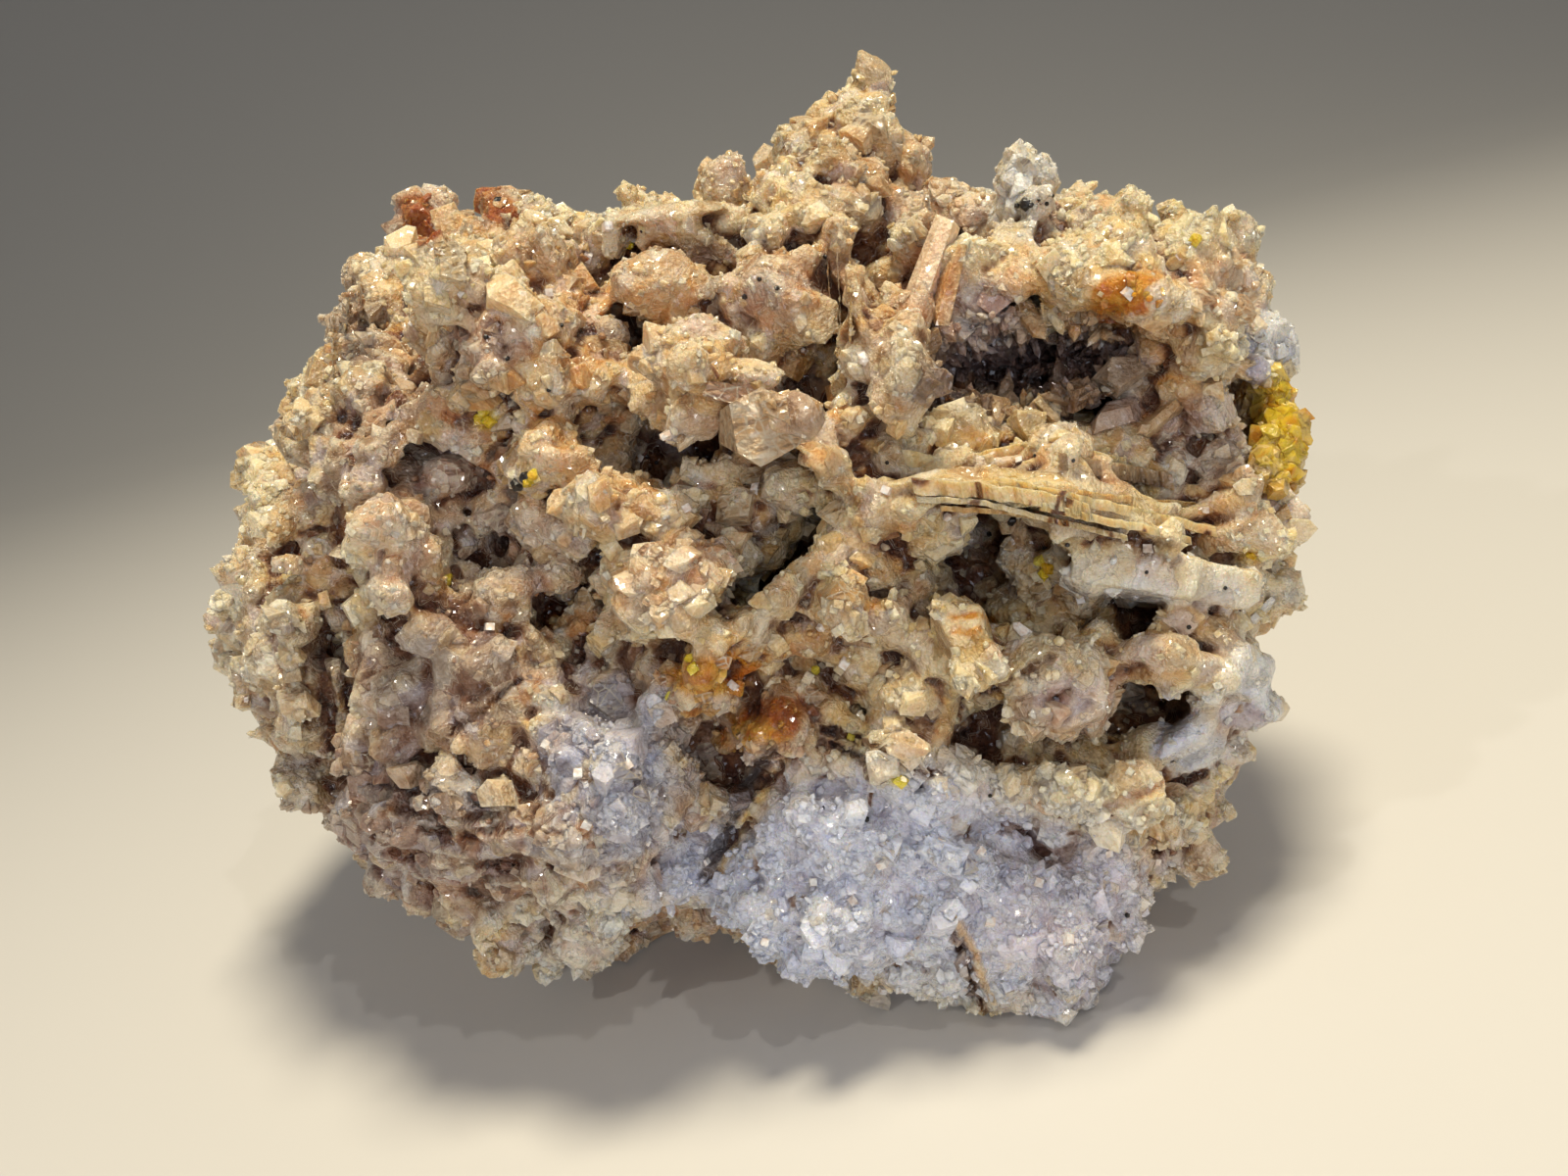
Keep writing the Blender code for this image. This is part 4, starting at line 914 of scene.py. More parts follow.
# %% The slab, chunks and prisms
# Piece, kind, where it is seen, half width and half height, depth, turn, how far out, cuts, tint, its strength
FORMS = [
    ("cream_slab", "block", (1150, 584), (70, 28), 6, -9, 1.8, 5, "cream", 0.6),
    ("cream_slab", "block", (1232, 596), (56, 22), 5, -12, 1.5, 5, "cream", 0.5),
    ("cream_slab", "lump", (1108, 590), (26, 20), 5, 0, 1.6, 6, "white", 0.5),
    ("cream_slab", "lump", (1166, 604), (30, 16), 5, -6, 1.9, 6, "white", 0.6),
    ("top_ledge", "block", (690, 217), (62, 9), 5, 4, 2.0, 4, "cream", 0.6),
    ("top_ledge", "block", (627, 238), (9, 24), 4, -8, 1.6, 3, "green_white", 0.5),
    ("round_lumps", "lump", (672, 290), (44, 38), 6, 10, 1.6, 12, "peach", 0.5),
    ("round_lumps", "block", (706, 290), (18, 14), 4, 20, 1.6, 4, "tan", 0.4),
    ("round_lumps", "lump", (792, 298), (40, 38), 6, 0, 1.6, 14, "salmon", 0.4),
    ("round_lumps", "lump", (770, 238), (12, 18), 4, 0, 1.5, 6, "lemon_cream", 0.6),
    ("round_lumps", "lump", (790, 236), (10, 16), 4, 0, 1.6, 6, "lemon_cream", 0.6),
    ("round_lumps", "lump", (744, 292), (14, 16), 4, 0, 1.6, 8, "lemon_cream", 0.5),
    ("round_lumps", "lump", (886, 366), (30, 30), 6, 0, 1.2, 10, "lilac", 0.3),
    ("round_lumps", "lump", (920, 380), (20, 20), 5, 0, 1.2, 10, "cream", 0.4),
    ("round_lumps", "lump", (698, 492), (24, 14), 4, 0, 1.4, 6, "white", 0.5),
    ("round_lumps", "lump", (665, 590), (26, 26), 5, 0, 1.2, 12, "peach", 0.5),
    ("round_lumps", "lump", (712, 584), (30, 26), 5, 20, 1.2, 12, "salmon", 0.4),
    ("round_lumps", "lump", (990, 546), (18, 16), 4, 0, 1.2, 10, "lilac", 0.5),
    ("round_lumps", "lump", (1200, 470), (18, 11), 4, 0, 1.2, 6, "white", 0.8),
    ("round_lumps", "lump", (918, 616), (13, 13), 4, 0, 1.4, 5, "pink", 0.5),
    ("round_lumps", "lump", (1082, 715), (26, 26), 5, 0, 1.2, 12, "lilac_white", 0.4),
    ("round_lumps", "lump", (1040, 758), (24, 22), 5, 0, 1.2, 12, "cream", 0.4),
    ("ledge_tongue", "block", (722, 356), (30, 26), 5, -24, 1.8, 5, "peach", 0.4),
    ("ledge_tongue", "lump", (764, 382), (38, 14), 4, -4, 2.0, 4, "cream", 0.5),
    ("ledge_tongue", "block", (640, 388), (30, 17), 4, -12, 1.6, 5, "cream", 0.5),
    ("cleaved_chunk", "block", (768, 436), (44, 34), 8, -26, 1.2, 10, "peach", 0.5),
    ("cleaved_chunk", "block", (790, 462), (34, 12), 6, -14, 1.5, 8, "peach", 0.5),
    ("cleaved_chunk", "block", (752, 408), (30, 11), 6, -16, 1.7, 8, "lilac", 0.4),
    ("cleaved_chunk", "block", (790, 412), (20, 12), 6, -24, 1.6, 8, "peach", 0.7),
    ("round_lumps", "lump", (817, 424), (26, 27), 6, 0, 1.3, 8, "lilac", 0.5),
    ("round_lumps", "block", (828, 464), (13, 13), 5, -8, 1.2, 4, "peach", 0.7),
    ("round_lumps", "block", (704, 428), (26, 18), 5, -36, 0.8, 6, "tan", 0.5),
    ("amber_block", "block", (984, 646), (35, 31), 7, -6, 1.2, 5, "honey", 0.8),
    ("amber_block", "lump", (1014, 664), (9, 8), 4, 0, 1.2, 6, "salmon", 0.9),
    ("prisms", "prism", (948, 276), (52, 16), 5, 72, 1.2, 3, "salmon", 0.5),
    ("prisms", "prism", (968, 290), (44, 12), 4, 76, 1.4, 3, "peach", 0.6),
    ("edge_crystals", "prism", (1204, 750), (34, 14), 4, 38, 1.3, 3, "blue_white", 0.8),
    ("edge_crystals", "prism", (1222, 778), (32, 15), 4, 40, 1.3, 3, "white", 0.8),
    ("edge_crystals", "prism", (1172, 722), (30, 9), 4, -12, 0.4, 2, "grey_lilac", 0.7),
    ("prisms", "prism", (1086, 428), (30, 12), 4, 4, 1.6, 2, "lemon_cream", 0.5),
    ("prisms", "prism", (1140, 424), (32, 16), 4, 12, 1.4, 3, "lilac", 0.5),
    ("prisms", "prism", (1188, 424), (26, 10), 4, 42, 1.6, 2, "tan", 0.6),
    ("prisms", "block", (1046, 434), (15, 16), 4, -6, 1.6, 3, "cream", 0.8),
    ("prisms", "prism", (1288, 622), (16, 6), 3, 48, 1.6, 2, "white", 0.8),
    ("edge_crystals", "lump", (1284, 690), (20, 24), 5, -28, 0.9, 14, "white", 1.0),
    ("edge_crystals", "block", (1292, 722), (18, 18), 5, -40, 0.9, 8, "white", 1.0),
    ("edge_crystals", "lump", (1268, 730), (26, 14), 4, -10, 0.9, 8, "lilac_white", 0.8),
    ("edge_crystals", "prism", (1262, 676), (24, 10), 4, 50, 0.9, 3, "white", 0.7),
    ("round_lumps", "lump", (1196, 672), (36, 25), 5, 0, 1.3, 14, "peach", 0.5),
    ("round_lumps", "lump", (1160, 662), (22, 15), 4, 20, 1.2, 8, "lilac", 0.5),
    ("round_lumps", "lump", (1228, 694), (20, 18), 4, 0, 1.2, 10, "cream", 0.5),
    ("peaks", "lump", (1040, 176), (24, 26), 8, 0, 1.5, 8, "green_white", 0.5),
    ("peaks", "lump", (1046, 214), (38, 28), 8, 0, 1.5, 10, "green_white", 0.5),
    ("peaks", "lump", (1018, 246), (28, 26), 7, 0, 1.5, 10, "cream", 0.5),
    ("peaks", "lump", (886, 120), (34, 28), 8, 0, 1.0, 10, "cream", 0.5),
    ("peaks", "lump", (900, 164), (46, 30), 8, 0, 1.0, 10, "peach", 0.4),
    ("roof_lumps", "lump", (1098, 298), (26, 15), 5, 0, 1.4, 8, "lemon_cream", 0.8),
    ("roof_lumps", "lump", (1142, 302), (32, 18), 5, 0, 1.5, 8, "amber", 0.9),
    ("roof_lumps", "lump", (1164, 286), (26, 10), 4, 8, 1.4, 5, "amber", 0.6),
    ("roof_lumps", "lump", (1196, 306), (24, 20), 5, 0, 1.4, 10, "cream", 0.7),
    ("roof_lumps", "lump", (1190, 380), (34, 12), 4, 10, 1.4, 5, "amber", 0.5),
    ("roof_lumps", "prism", (1240, 336), (36, 12), 4, -56, 1.6, 3, "cream", 0.6),
    ("hollow_knots", "lump", (1000, 306), (22, 18), 4, 0, 1.2, 10, "lilac", 0.6),
    ("hollow_knots", "lump", (1030, 322), (20, 20), 4, 0, 1.2, 10, "lilac", 0.6),
    ("hollow_knots", "lump", (985, 342), (20, 18), 4, 0, 1.0, 10, "grey_lilac", 0.6),
    ("hollow_knots", "lump", (1012, 352), (18, 16), 4, 0, 1.0, 10, "grey_lilac", 0.7),
    ("hollow_knots", "lump", (1080, 350), (26, 20), 4, 0, 0.8, 10, "clay", 0.5),
    ("hollow_knots", "lump", (1120, 348), (24, 18), 4, 0, 0.8, 10, "clay", 0.4),
    ("white_knob", "lump", (1298, 352), (28, 37), 9, 0, 0.8, 16, "white", 1.0),
    ("white_knob", "lump", (1280, 378), (18, 16), 6, 0, 0.6, 8, "lilac_white", 0.9),
    ("rim_lumps", "lump", (430, 228), (18, 20), 7, 0, 0.6, 10, "rust", 0.9),
    ("rim_lumps", "lump", (512, 214), (20, 14), 6, 0, 0.6, 8, "rust", 0.9),
    ("rim_lumps", "lump", (290, 632), (16, 20), 4, 0, 0.5, 8, "brown", 0.6),
]
SHARP_FORMS = {"cleaved_chunk", "prisms"}
fused_forms = [
    solid_in_place(kind, at, half, depth, turn, proud, cuts)
    for name, kind, at, half, depth, turn, proud, cuts, _, _ in FORMS if name not in SHARP_FORMS
]
print(len(FORMS), "placed crystals, of which", len(fused_forms), "are fused with the bed")

# %% [markdown]
# ## The ground, grown together
# Older crystals are one to five millimetres across and grown into each other, so no edge between them is
# open. Lumps, blocks and grains root all over the bed, and a voxel remesh fuses them, the forms and the
# bed into one skin. It rounds their edges a little, as on the frosted crystals of the real piece. Then
# triangles that change the shape least are merged, those of the far side a little more readily.

# %% The older crystals
# Habit, how many, usual width, height over width, how far out over its width, chance in its turn (below
# zero: turned as its neighbours are), pull to the edges, and the share of its area that it follows
OLDER = [
    ("lump", 1700, 3.2, 0.9, -0.12, -0.3, 0.6, "relief"),
    ("tilted_block", 2600, 2.8, 1.0, -0.12, -0.3, 0.6, "relief"),
    ("other_lump", 4500, 1.8, 0.95, -0.10, -0.5, 0.6, "relief"),
    ("block", 5500, 1.5, 1.0, -0.10, -0.5, 0.6, "sugar"),
    ("grain", 8000, 1.0, 0.95, -0.08, 0.5, 0.6, "sugar"),
]
FEWER_BEHIND = 0.3
HOLLOW_LIMITS = (-1.5, 2.5)
bed_roots = roots_of(bed.data, hollowness(bed.data, 40))
solids = [(coordinates(bed.data), corners_of(bed.data))]
solids += [form[:2] for form in fused_forms]
middles = [form[0].mean(axis=0, keepdims=True) for form in fused_forms]
for habit, count, width, tall, proud, lean, to_edges, follows in OLDER:
    weight = bed_roots["area"] * bed_roots["free"] * (1 - FEWER_BEHIND * bed_roots["behind"])
    weight *= np.exp(-to_edges * np.clip(bed_roots["hollow"], *HOLLOW_LIMITS)) * bed_roots[follows]
    places, turns, sizes, _ = rooted(bed_roots, weight, count, width, tall, proud, lean)
    solids.append(crowd(habit, places, turns, sizes))
    middles.append(places)
middles = np.concatenate(middles)
bpy.data.objects.remove(bed)
ground = array_object("calcite_ground", *joined(solids))
print("to fuse:", len(ground.data.polygons), "triangles,", len(middles), "crystals")

# %% The fused skin
SKIN_FACE = 0.36
SKIN_TRIANGLES = 585000
SMOOTHED = 1
# How far off the far side starts and is full, how readily its faces merge from front to back, and how
# much that counts against the change of shape
MERGED_FROM = (118, 140)
READINESS = (0.12, 0.34, 0.56, 0.78, 1.0)
WEIGHT_OF_READINESS = 2e-5
evenly_faced(ground, SKIN_FACE)
set_coordinates(ground.data, averaged(ground.data, coordinates(ground.data), SMOOTHED))
print("fused to", len(ground.data.polygons), "triangles")

# The far side is seen less, so its faces are merged first
away = picture_points(coordinates(ground.data))[2]
weights = ground.vertex_groups.new(name="behind")
level_of = (smoothstep(*MERGED_FROM, away) * (len(READINESS) - 1)).round().astype(int)
for level, readiness in enumerate(READINESS):
    weights.add(np.flatnonzero(level_of == level).tolist(), readiness, "REPLACE")
fewer = ground.modifiers.new("fewer_faces", "DECIMATE")
fewer.ratio = min(1.0, SKIN_TRIANGLES / len(ground.data.polygons))
fewer.vertex_group = "behind"
fewer.vertex_group_factor = WEIGHT_OF_READINESS
baked(ground)
ground.vertex_groups.clear()


def main_part(faces, count):
    """Which vertices are in the largest connected part. The rest are pockets that no light reaches."""
    label = np.arange(count)
    while True:
        lowest = label[faces].min(axis=1)
        new = label.copy()
        for corner in faces.T:
            np.minimum.at(new, corner, lowest)
        new = new[new]
        if (new == label).all():
            return label == np.bincount(label).argmax()
        label = new


kept = main_part(corners_of(ground.data), len(ground.data.vertices))
faces = corners_of(ground.data)
faces = faces[kept[faces[:, 0]]]
renumbered = np.cumsum(kept) - 1
skin_points, skin_faces = coordinates(ground.data)[kept], renumbered[faces]
bpy.data.objects.remove(ground)
ground = array_object("calcite_ground", skin_points, skin_faces)
print("after merging and without pockets:", len(skin_faces), "triangles")

# %% [markdown]
# ## Seams and fine relief
# A few dark seams and cracks run over the specimen, and thin stripes of amber cross the honey coloured
# block. They are lines of picture points. Each sinks the skin along it and tints it. A fine noise then
# roughens the skin everywhere.

# %% Seams and the last fine relief
# Line of picture points, half width in the picture, how deep in millimetres, tint and its strength
SEAMS = [
    ([(838, 744), (880, 756), (948, 792)], 4, 0.9, "brown", 0.9),
    ([(850, 760), (905, 783), (940, 804)], 3, 0.7, "dark", 0.9),
    ([(786, 764), (762, 806), (742, 850), (720, 896)], 7, 0.9, "dark", 0.85),
    ([(804, 772), (776, 812), (752, 856), (730, 898)], 4, 0.3, "honey", 0.8),
    ([(966, 938), (980, 972), (1006, 1034)], 3, 0.8, "brown", 0.8),
    ([(976, 936), (992, 970), (1012, 1022)], 4, -0.4, "tan", 0.8),
    ([(450, 760), (490, 722), (530, 692)], 3, 0.4, "brown", 0.8),
    ([(350, 792), (430, 806), (500, 820)], 5, 0.9, "dark", 0.7),
    ([(390, 824), (450, 832), (510, 834)], 4, 0.6, "brown", 0.8),
    ([(430, 846), (500, 850), (570, 850)], 4, 0.6, "brown", 0.7),
    ([(400, 868), (460, 880), (520, 884)], 4, 0.6, "brown", 0.7),
    ([(430, 902), (500, 914), (560, 906)], 4, 0.5, "clay", 0.7),
    ([(1004, 708), (1034, 694), (1070, 672)], 4, 0.8, "brown", 0.8),
    # Painted shade: brown down the left groove and in the pit on the broken face.
    ([(325, 640), (329, 700), (336, 764)], 8, 1.2, "brown", 0.7),
    ([(1026, 846), (1046, 852), (1066, 874)], 6, 1.3, "brown", 0.55),
    ([(972, 630), (994, 628), (1012, 631)], 4, 0.1, "amber", 0.95),
    ([(974, 643), (988, 646), (1002, 643)], 4, 0.1, "amber", 0.9),
    ([(1130, 826), (1180, 806), (1230, 790)], 5, 0.8, "clay", 0.6),
]


def line_share(x, y, line, half_width):
    """1 along a line of picture points, 0 away from it."""
    nearest = np.full(len(x), np.inf)
    for (ax, ay), (bx, by) in zip(line, line[1:]):
        along = np.clip(((x - ax) * (bx - ax) + (y - ay) * (by - ay)) / ((bx - ax) ** 2 + (by - ay) ** 2), 0, 1)
        nearest = np.minimum(nearest, np.hypot(x - ax - along * (bx - ax), y - ay - along * (by - ay)))
    return 1 - smoothstep(0.6 * half_width, 1.5 * half_width, nearest)


SEAMS_END = (126, 136)
SEAM_WAVES, SEAM_WAVE_SIZE = 5, 2.5


def seam_share(points):
    """How much of a seam there is at each point, the seam's depth, and its tint with its weight."""
    x, y, depth = picture_points(points)
    wavy = SEAM_WAVES * noise_at(points, SEAM_WAVE_SIZE, 40.0)
    near = 1 - smoothstep(*SEAMS_END, depth)
    share, deep = np.zeros(len(points)), np.zeros(len(points))
    tint = np.zeros((len(points), 3))
    for line, half_width, depth_in, name, strength in SEAMS:
        here = line_share(x + wavy, y + wavy, line, half_width) * near
        share = np.maximum(share, here * strength)
        deep += here * depth_in
        tint = tint * (1 - here[:, None]) + TINT[name] * here[:, None]
    return share, deep, tint / np.maximum(share, 1e-3)[:, None].clip(1e-3, 1)


FINE, FINE_SIZE, FINEST, FINEST_SIZE = 0.09, 0.9, 0.07, 0.45
in_seam, seam_depth, seam_tint = seam_share(skin_points)
skin_points = skin_points + np.array(FORWARD) * (seam_depth * MM)[:, None]
set_coordinates(ground.data, skin_points)
fine = FINE * noise_at(skin_points, FINE_SIZE, 2.0) + FINEST * noise_at(skin_points, FINEST_SIZE, 5.0)
skin_points = skin_points + normals(ground.data) * (fine * MM)[:, None]
skin_points[:, 2] = np.maximum(skin_points[:, 2], 0)
set_coordinates(ground.data, skin_points)

# %% What each place of the skin is like
# Each crystal has a number of its own. About half of them are clearer and take another tint.
CLEAR_SHARE, CLEAR_MIX = 0.5, 0.42
WARM, STAINED = (0.1, 0.3), (0.75, 0.9)
WIDE_ROUNDS, NEAR_ROUNDS, NEAR_SHARE = 60, 8, 1.5


def tint_rows(*names):
    """Several tints as the rows of an array."""
    return np.array([TINT[name] for name in names])


CLEAR_TINTS = tint_rows("lilac", "cream", "salmon", "grey_lilac", "lilac_white", "white", "clay")
COOL_TINTS = tint_rows("white", "white", "blue_white", "grey_white", "white", "cream")
skin_hollow = hollowness(ground.data, WIDE_ROUNDS) + NEAR_SHARE * hollowness(ground.data, NEAR_ROUNDS)
tree_of_middles = KDTree(len(middles))
for number, middle in enumerate(middles):
    tree_of_middles.insert(middle, number)
tree_of_middles.balance()
crystal = np.array([tree_of_middles.find(place)[1] for place in skin_points])
skin_own = rng.random(len(middles))[crystal]
skin_tint = tints_at(skin_points)
x, y, _ = picture_points(skin_points)
for name, _, at, half, _, turn, _, _, tint_name, strength in FORMS:
    if name not in SHARP_FORMS:
        inside = (area_share(x, y, at, half, turn, (0.85, 1.2)) * strength)[:, None]
        skin_tint = skin_tint * (1 - inside) + TINT[tint_name] * inside
clear = (rng.random(len(middles)) < CLEAR_SHARE).astype(float)[crystal]
clear_tint = CLEAR_TINTS[(skin_own * 31).astype(int) % len(CLEAR_TINTS)]
cool_tint = COOL_TINTS[(skin_own * 43).astype(int) % len(COOL_TINTS)]
warm = smoothstep(*WARM, skin_tint[:, 0] - skin_tint[:, 2])[:, None]
stained_through = smoothstep(*STAINED, 1 - skin_tint[:, 2] / skin_tint[:, 0])
mix = (CLEAR_MIX * clear * (1 - stained_through))[:, None]
skin_tint = skin_tint * (1 - mix) + (clear_tint * warm + cool_tint * (1 - warm)) * mix
skin_tint = skin_tint * (1 - in_seam[:, None]) + np.clip(seam_tint, 0, 1) * in_seam[:, None]
print("hollowness in mm, 5th to 95th of a hundred:", np.percentile(skin_hollow, [5, 50, 95]).round(2))

# %% The forms that keep their sharp faces
skin = BVHTree.FromPolygons(skin_points.tolist(), skin_faces.tolist())
forms = {"calcite_blades": blades}
for name in sorted(SHARP_FORMS):
    rows = [row for row in FORMS if row[0] == name]
    parts = [
        solid_in_place(kind, at, half, depth, turn, proud, cuts, 0.03, rise=0)
        for _, kind, at, half, depth, turn, proud, cuts, _, _ in rows
    ]
    forms[name] = form_object(name, parts, [(row[8], row[9]) for row in rows])
print({name: len(piece.data.polygons) for name, piece in forms.items()}, "triangles")

# %% [markdown]
# ## The druse
# Young crystals of half a millimetre to two cover the skin: sugar, grains, teeth, points and blocks. They
# are thick on the edges and ridges, where growth was free, and on the broken white faces, and thin in
# the hollows and on the clear chunk. They keep their sharp faces, so they are not fused. Each habit is
# one object below 200,000 triangles.

# %% The druse
# Name, habit, how many, usual width in millimetres, height over width, how far it stands out over its
# width, chance in its turn (below zero: turned as its neighbours are), pull to the edges, finish
DRUSE = [
    ("clear_chunks", "block", 420, 1.6, 0.9, -0.28, -0.10, 0.3, "clear"),
    ("blocks", "block", 1300, 1.5, 0.9, -0.30, -0.2, 0.2, "calcite"),
    ("tilted_blocks", "tilted_block", 1300, 1.3, 1.0, -0.28, -0.2, 0.2, "calcite"),
    ("blunt_points", "blunt_point", 2200, 0.75, 1.0, -0.32, 0.35, 0.3, "calcite"),
    ("teeth", "tooth", 1200, 0.6, 1.0, -0.32, 0.4, 0.3, "calcite"),
    ("sugar", "crumb", 10500, 0.5, 1.0, -0.22, 0.7, 0.5, "calcite"),
    ("sugar_grains", "grain", 1500, 0.6, 0.95, -0.25, 0.4, 0.5, "calcite"),
]
# How readily sugar grows on the forms, over the ground's readiness
SUGAR_SHARES = {"calcite_blades": 0.8, "cleaved_chunk": 0.1, "prisms": 0.12}
YOUNG_FEWER_BEHIND = 0.4
# Habits wider than this many millimetres follow the blocks' share of a place, and finer ones the sugar's
COARSE_FROM = 0.9
# The hollowness of what stands out in the open, in millimetres
ON_TOP = -0.2
skin_roots = roots_of(ground.data, skin_hollow)
pools = [skin_roots]
for name, share in SUGAR_SHARES.items():
    pools.append(roots_of(forms[name].data, np.full(len(forms[name].data.vertices), ON_TOP), share))
roots = {key: np.concatenate([pool[key] for pool in pools]) for key in skin_roots}
on_form = np.concatenate([np.full(len(pool["area"]), float(pool is not skin_roots)) for pool in pools])
in_seams = seam_share(roots["corners"].mean(axis=1))[0]
druse = {}
for name, habit, count, width, tall, proud, lean, to_edges, finish in DRUSE:
    weight = roots["area"] * roots["free"] * (1 - YOUNG_FEWER_BEHIND * roots["behind"])
    weight *= np.exp(-to_edges * np.clip(roots["hollow"], *HOLLOW_LIMITS))
    weight *= roots["blocks"] * (1 - on_form) if width > COARSE_FROM else roots["sugar"]
    weight *= 1 - in_seams
    places, turns, sizes, picked = rooted(roots, weight, count, width, tall, proud, lean)
    piece = grown(name, habit, places, turns, sizes, tints_at(places), roots["hollow"][picked])
    druse[name] = (piece, finish)
    print(name, len(piece.data.polygons), "triangles")

# %% Specks, lemon grains, and bright tips painted as highlights
# Name, habit, width in millimetres, how far out over its width, tint, and where they are seen
ACCENTS = [
    ("dark_specks", "grain", 0.42, 0.1, "black", [
        (767, 292), (775, 285), (793, 294), (760, 303), (1056, 465), (1095, 470), (905, 472), (1009, 545),
        (1089, 556), (573, 332), (655, 236), (1046, 206), (1052, 209), (1060, 204), (1068, 208),
        (1038, 210), (1074, 200), (925, 128), (927, 134), (922, 122), (1250, 600), (660, 466), (670, 472),
        (496, 344), (842, 262), (1213, 640), (884, 836), (840, 824), (1010, 812), (1150, 934), (1066, 560),
        (1170, 584), (518, 366), (560, 398),
    ]),
    ("dark_stains", "lump", 1.1, -0.1, "black", [
        (1032, 531), (536, 488), (528, 494), (1046, 208), (508, 205), (926, 130),
    ]),
    ("lemon_grains", "tilted_block", 0.85, 0.0, "lemon", [
        (494, 420), (500, 430), (489, 427), (544, 486), (538, 492), (1062, 572), (1070, 580), (1066, 586),
        (913, 793), (919, 797), (1283, 756), (1287, 760), (1278, 566), (707, 682), (704, 672), (830, 685),
        (684, 712), (1218, 246), (455, 592), (868, 752), (642, 250),
    ]),
    # Painted highlights: the bright tips and the glints are white crystals set where highlights are seen, and
    # their glossy finish also catches the small lamps.
    ("bright_tips", "tooth", 1.0, 0.0, "white", [(880, 365), (820, 358), (682, 443), (1045, 645), (1065, 355)]),
    ("glints", "crumb", 0.62, 0.2, "white", [
        (1040, 470), (966, 528), (600, 262), (652, 468), (748, 700), (862, 676), (905, 500), (1152, 300),
        (1128, 330), (560, 300), (620, 232), (770, 500), (700, 520), (838, 640), (1102, 612), (1172, 560),
        (900, 880), (960, 860), (1010, 940), (1090, 960), (860, 990), (640, 780), (600, 840), (560, 760),
        (1230, 520), (1206, 262), (1130, 236), (960, 190), (420, 330), (470, 300), (500, 640), (350, 620),
        (720, 880), (780, 960), (1180, 880), (1060, 900), (870, 920), (930, 870), (1000, 870), (1040, 960),
        (1130, 870), (830, 900), (900, 1010), (660, 860), (590, 790),
    ]),
]
for name, habit, width, out, tint_name, seen in ACCENTS:
    spots = [skin.ray_cast(EYE, ray(*at).normalized())[:2] for at in seen]
    spots = [(np.array(place), np.array(outward)) for place, outward in spots if place is not None]
    outward = np.array([spot[1] for spot in spots]) - np.array(FORWARD)
    outward /= np.linalg.norm(outward, axis=1, keepdims=True)
    wide = width * rng.uniform(0.75, 1.3, len(spots))
    places = np.array([spot[0] for spot in spots]) + outward * (wide * out * MM)[:, None]
    sizes = np.stack([wide, wide, wide * rng.uniform(0.8, 1.1, len(spots))], axis=1)
    tint = np.repeat(TINT[tint_name][None], len(spots), axis=0)
    piece = grown(name, habit, places, frames(outward, 0.3), sizes, tint, np.full(len(spots), ON_TOP))
    druse[name] = (piece, "dark" if tint_name == "black" else "calcite" if tint_name == "lemon" else "glassy")
print({name: len(druse[name][0].data.polygons) for name, *_ in ACCENTS}, "triangles")

# %% [markdown]
# ## The skin in three pieces
# An object is best kept below 200,000 triangles, so the skin is handed on as its left, its right and its
# back. Whole crystals go to one piece or the other, so the seams lie in the creases between them. Each
# piece is closed towards a point inside the specimen, where nobody sees it.

# %% The skin in three pieces
SKIN_MIDDLE = Vector((0, 0, 35)) * MM
FRONT_SHARE = 66.6


def closed_inward(mesh, middle):
    """Closes an open shell towards a point in its middle, out of sight."""
    bm = bmesh.new()
    bm.from_mesh(mesh)
    rim = [edge for edge in bm.edges if edge.is_boundary]
    made = bmesh.ops.edgeloop_fill(bm, edges=rim)["faces"]
    for vert in bmesh.ops.poke(bm, faces=made)["verts"]:
        vert.co = middle
    bm.to_mesh(mesh)
    bm.free()


of_face = crystal[skin_faces[:, 0]]
off = picture_points(middles)[2][of_face]
at_back = off > np.percentile(off, FRONT_SHARE)
beside = middles[of_face, 0]
middle_x = np.median(beside[~at_back])
skin_parts = []
for name, chosen in (
    ("calcite_left", ~at_back & (beside < middle_x)),
    ("calcite_right", ~at_back & (beside >= middle_x)),
    ("calcite_back", at_back),
):
    used, numbers = np.unique(skin_faces[chosen], return_inverse=True)
    piece = array_object(
        name, skin_points[used], numbers.reshape(-1, 3),
        tint=skin_tint[used], hollow=skin_hollow[used], own=skin_own[used],
    )
    closed_inward(piece.data, SKIN_MIDDLE)
    skin_parts.append(piece)
    print(name, len(piece.data.polygons), "triangles")
bpy.data.objects.remove(ground)

# %% [markdown]
# ## The hollow's lining and the fluorite
# The hollow is lined with brownish violet points that little light reaches. On the right edge sits the
# fluorite, a small cluster of lemon crystals with honey coloured edges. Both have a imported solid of
# their own. A finer copy of each takes its place, and crystals of the same habits grow on it.

# %% Finer copies of the small solids
COPY_TILT, COPY_SEAM = 0.25, 0.4
FACING = (-0.3, 0.2)


def finer_copy(node_name, name, face, drawn_in, lump, rise):
    """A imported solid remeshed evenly, drawn in and broken into lumps, with what its material reads."""
    obj = evenly_faced(merged_copy(node_name, name), face)
    points = coordinates(obj.data)
    outward = averaged(obj.data, normals(obj.data), 6)
    outward /= np.linalg.norm(outward, axis=1, keepdims=True) + 1e-9
    tilted, seam, own = cells(points, lump)
    lift = rise * (2 * own[:, 0] - 1) + COPY_TILT * lump * tilted
    lift = lift - rise * (1 - smoothstep(0, COPY_SEAM, seam)) - drawn_in
    set_coordinates(obj.data, points + outward * (lift * MM)[:, None])
    obj.data.shade_flat()
    return obj


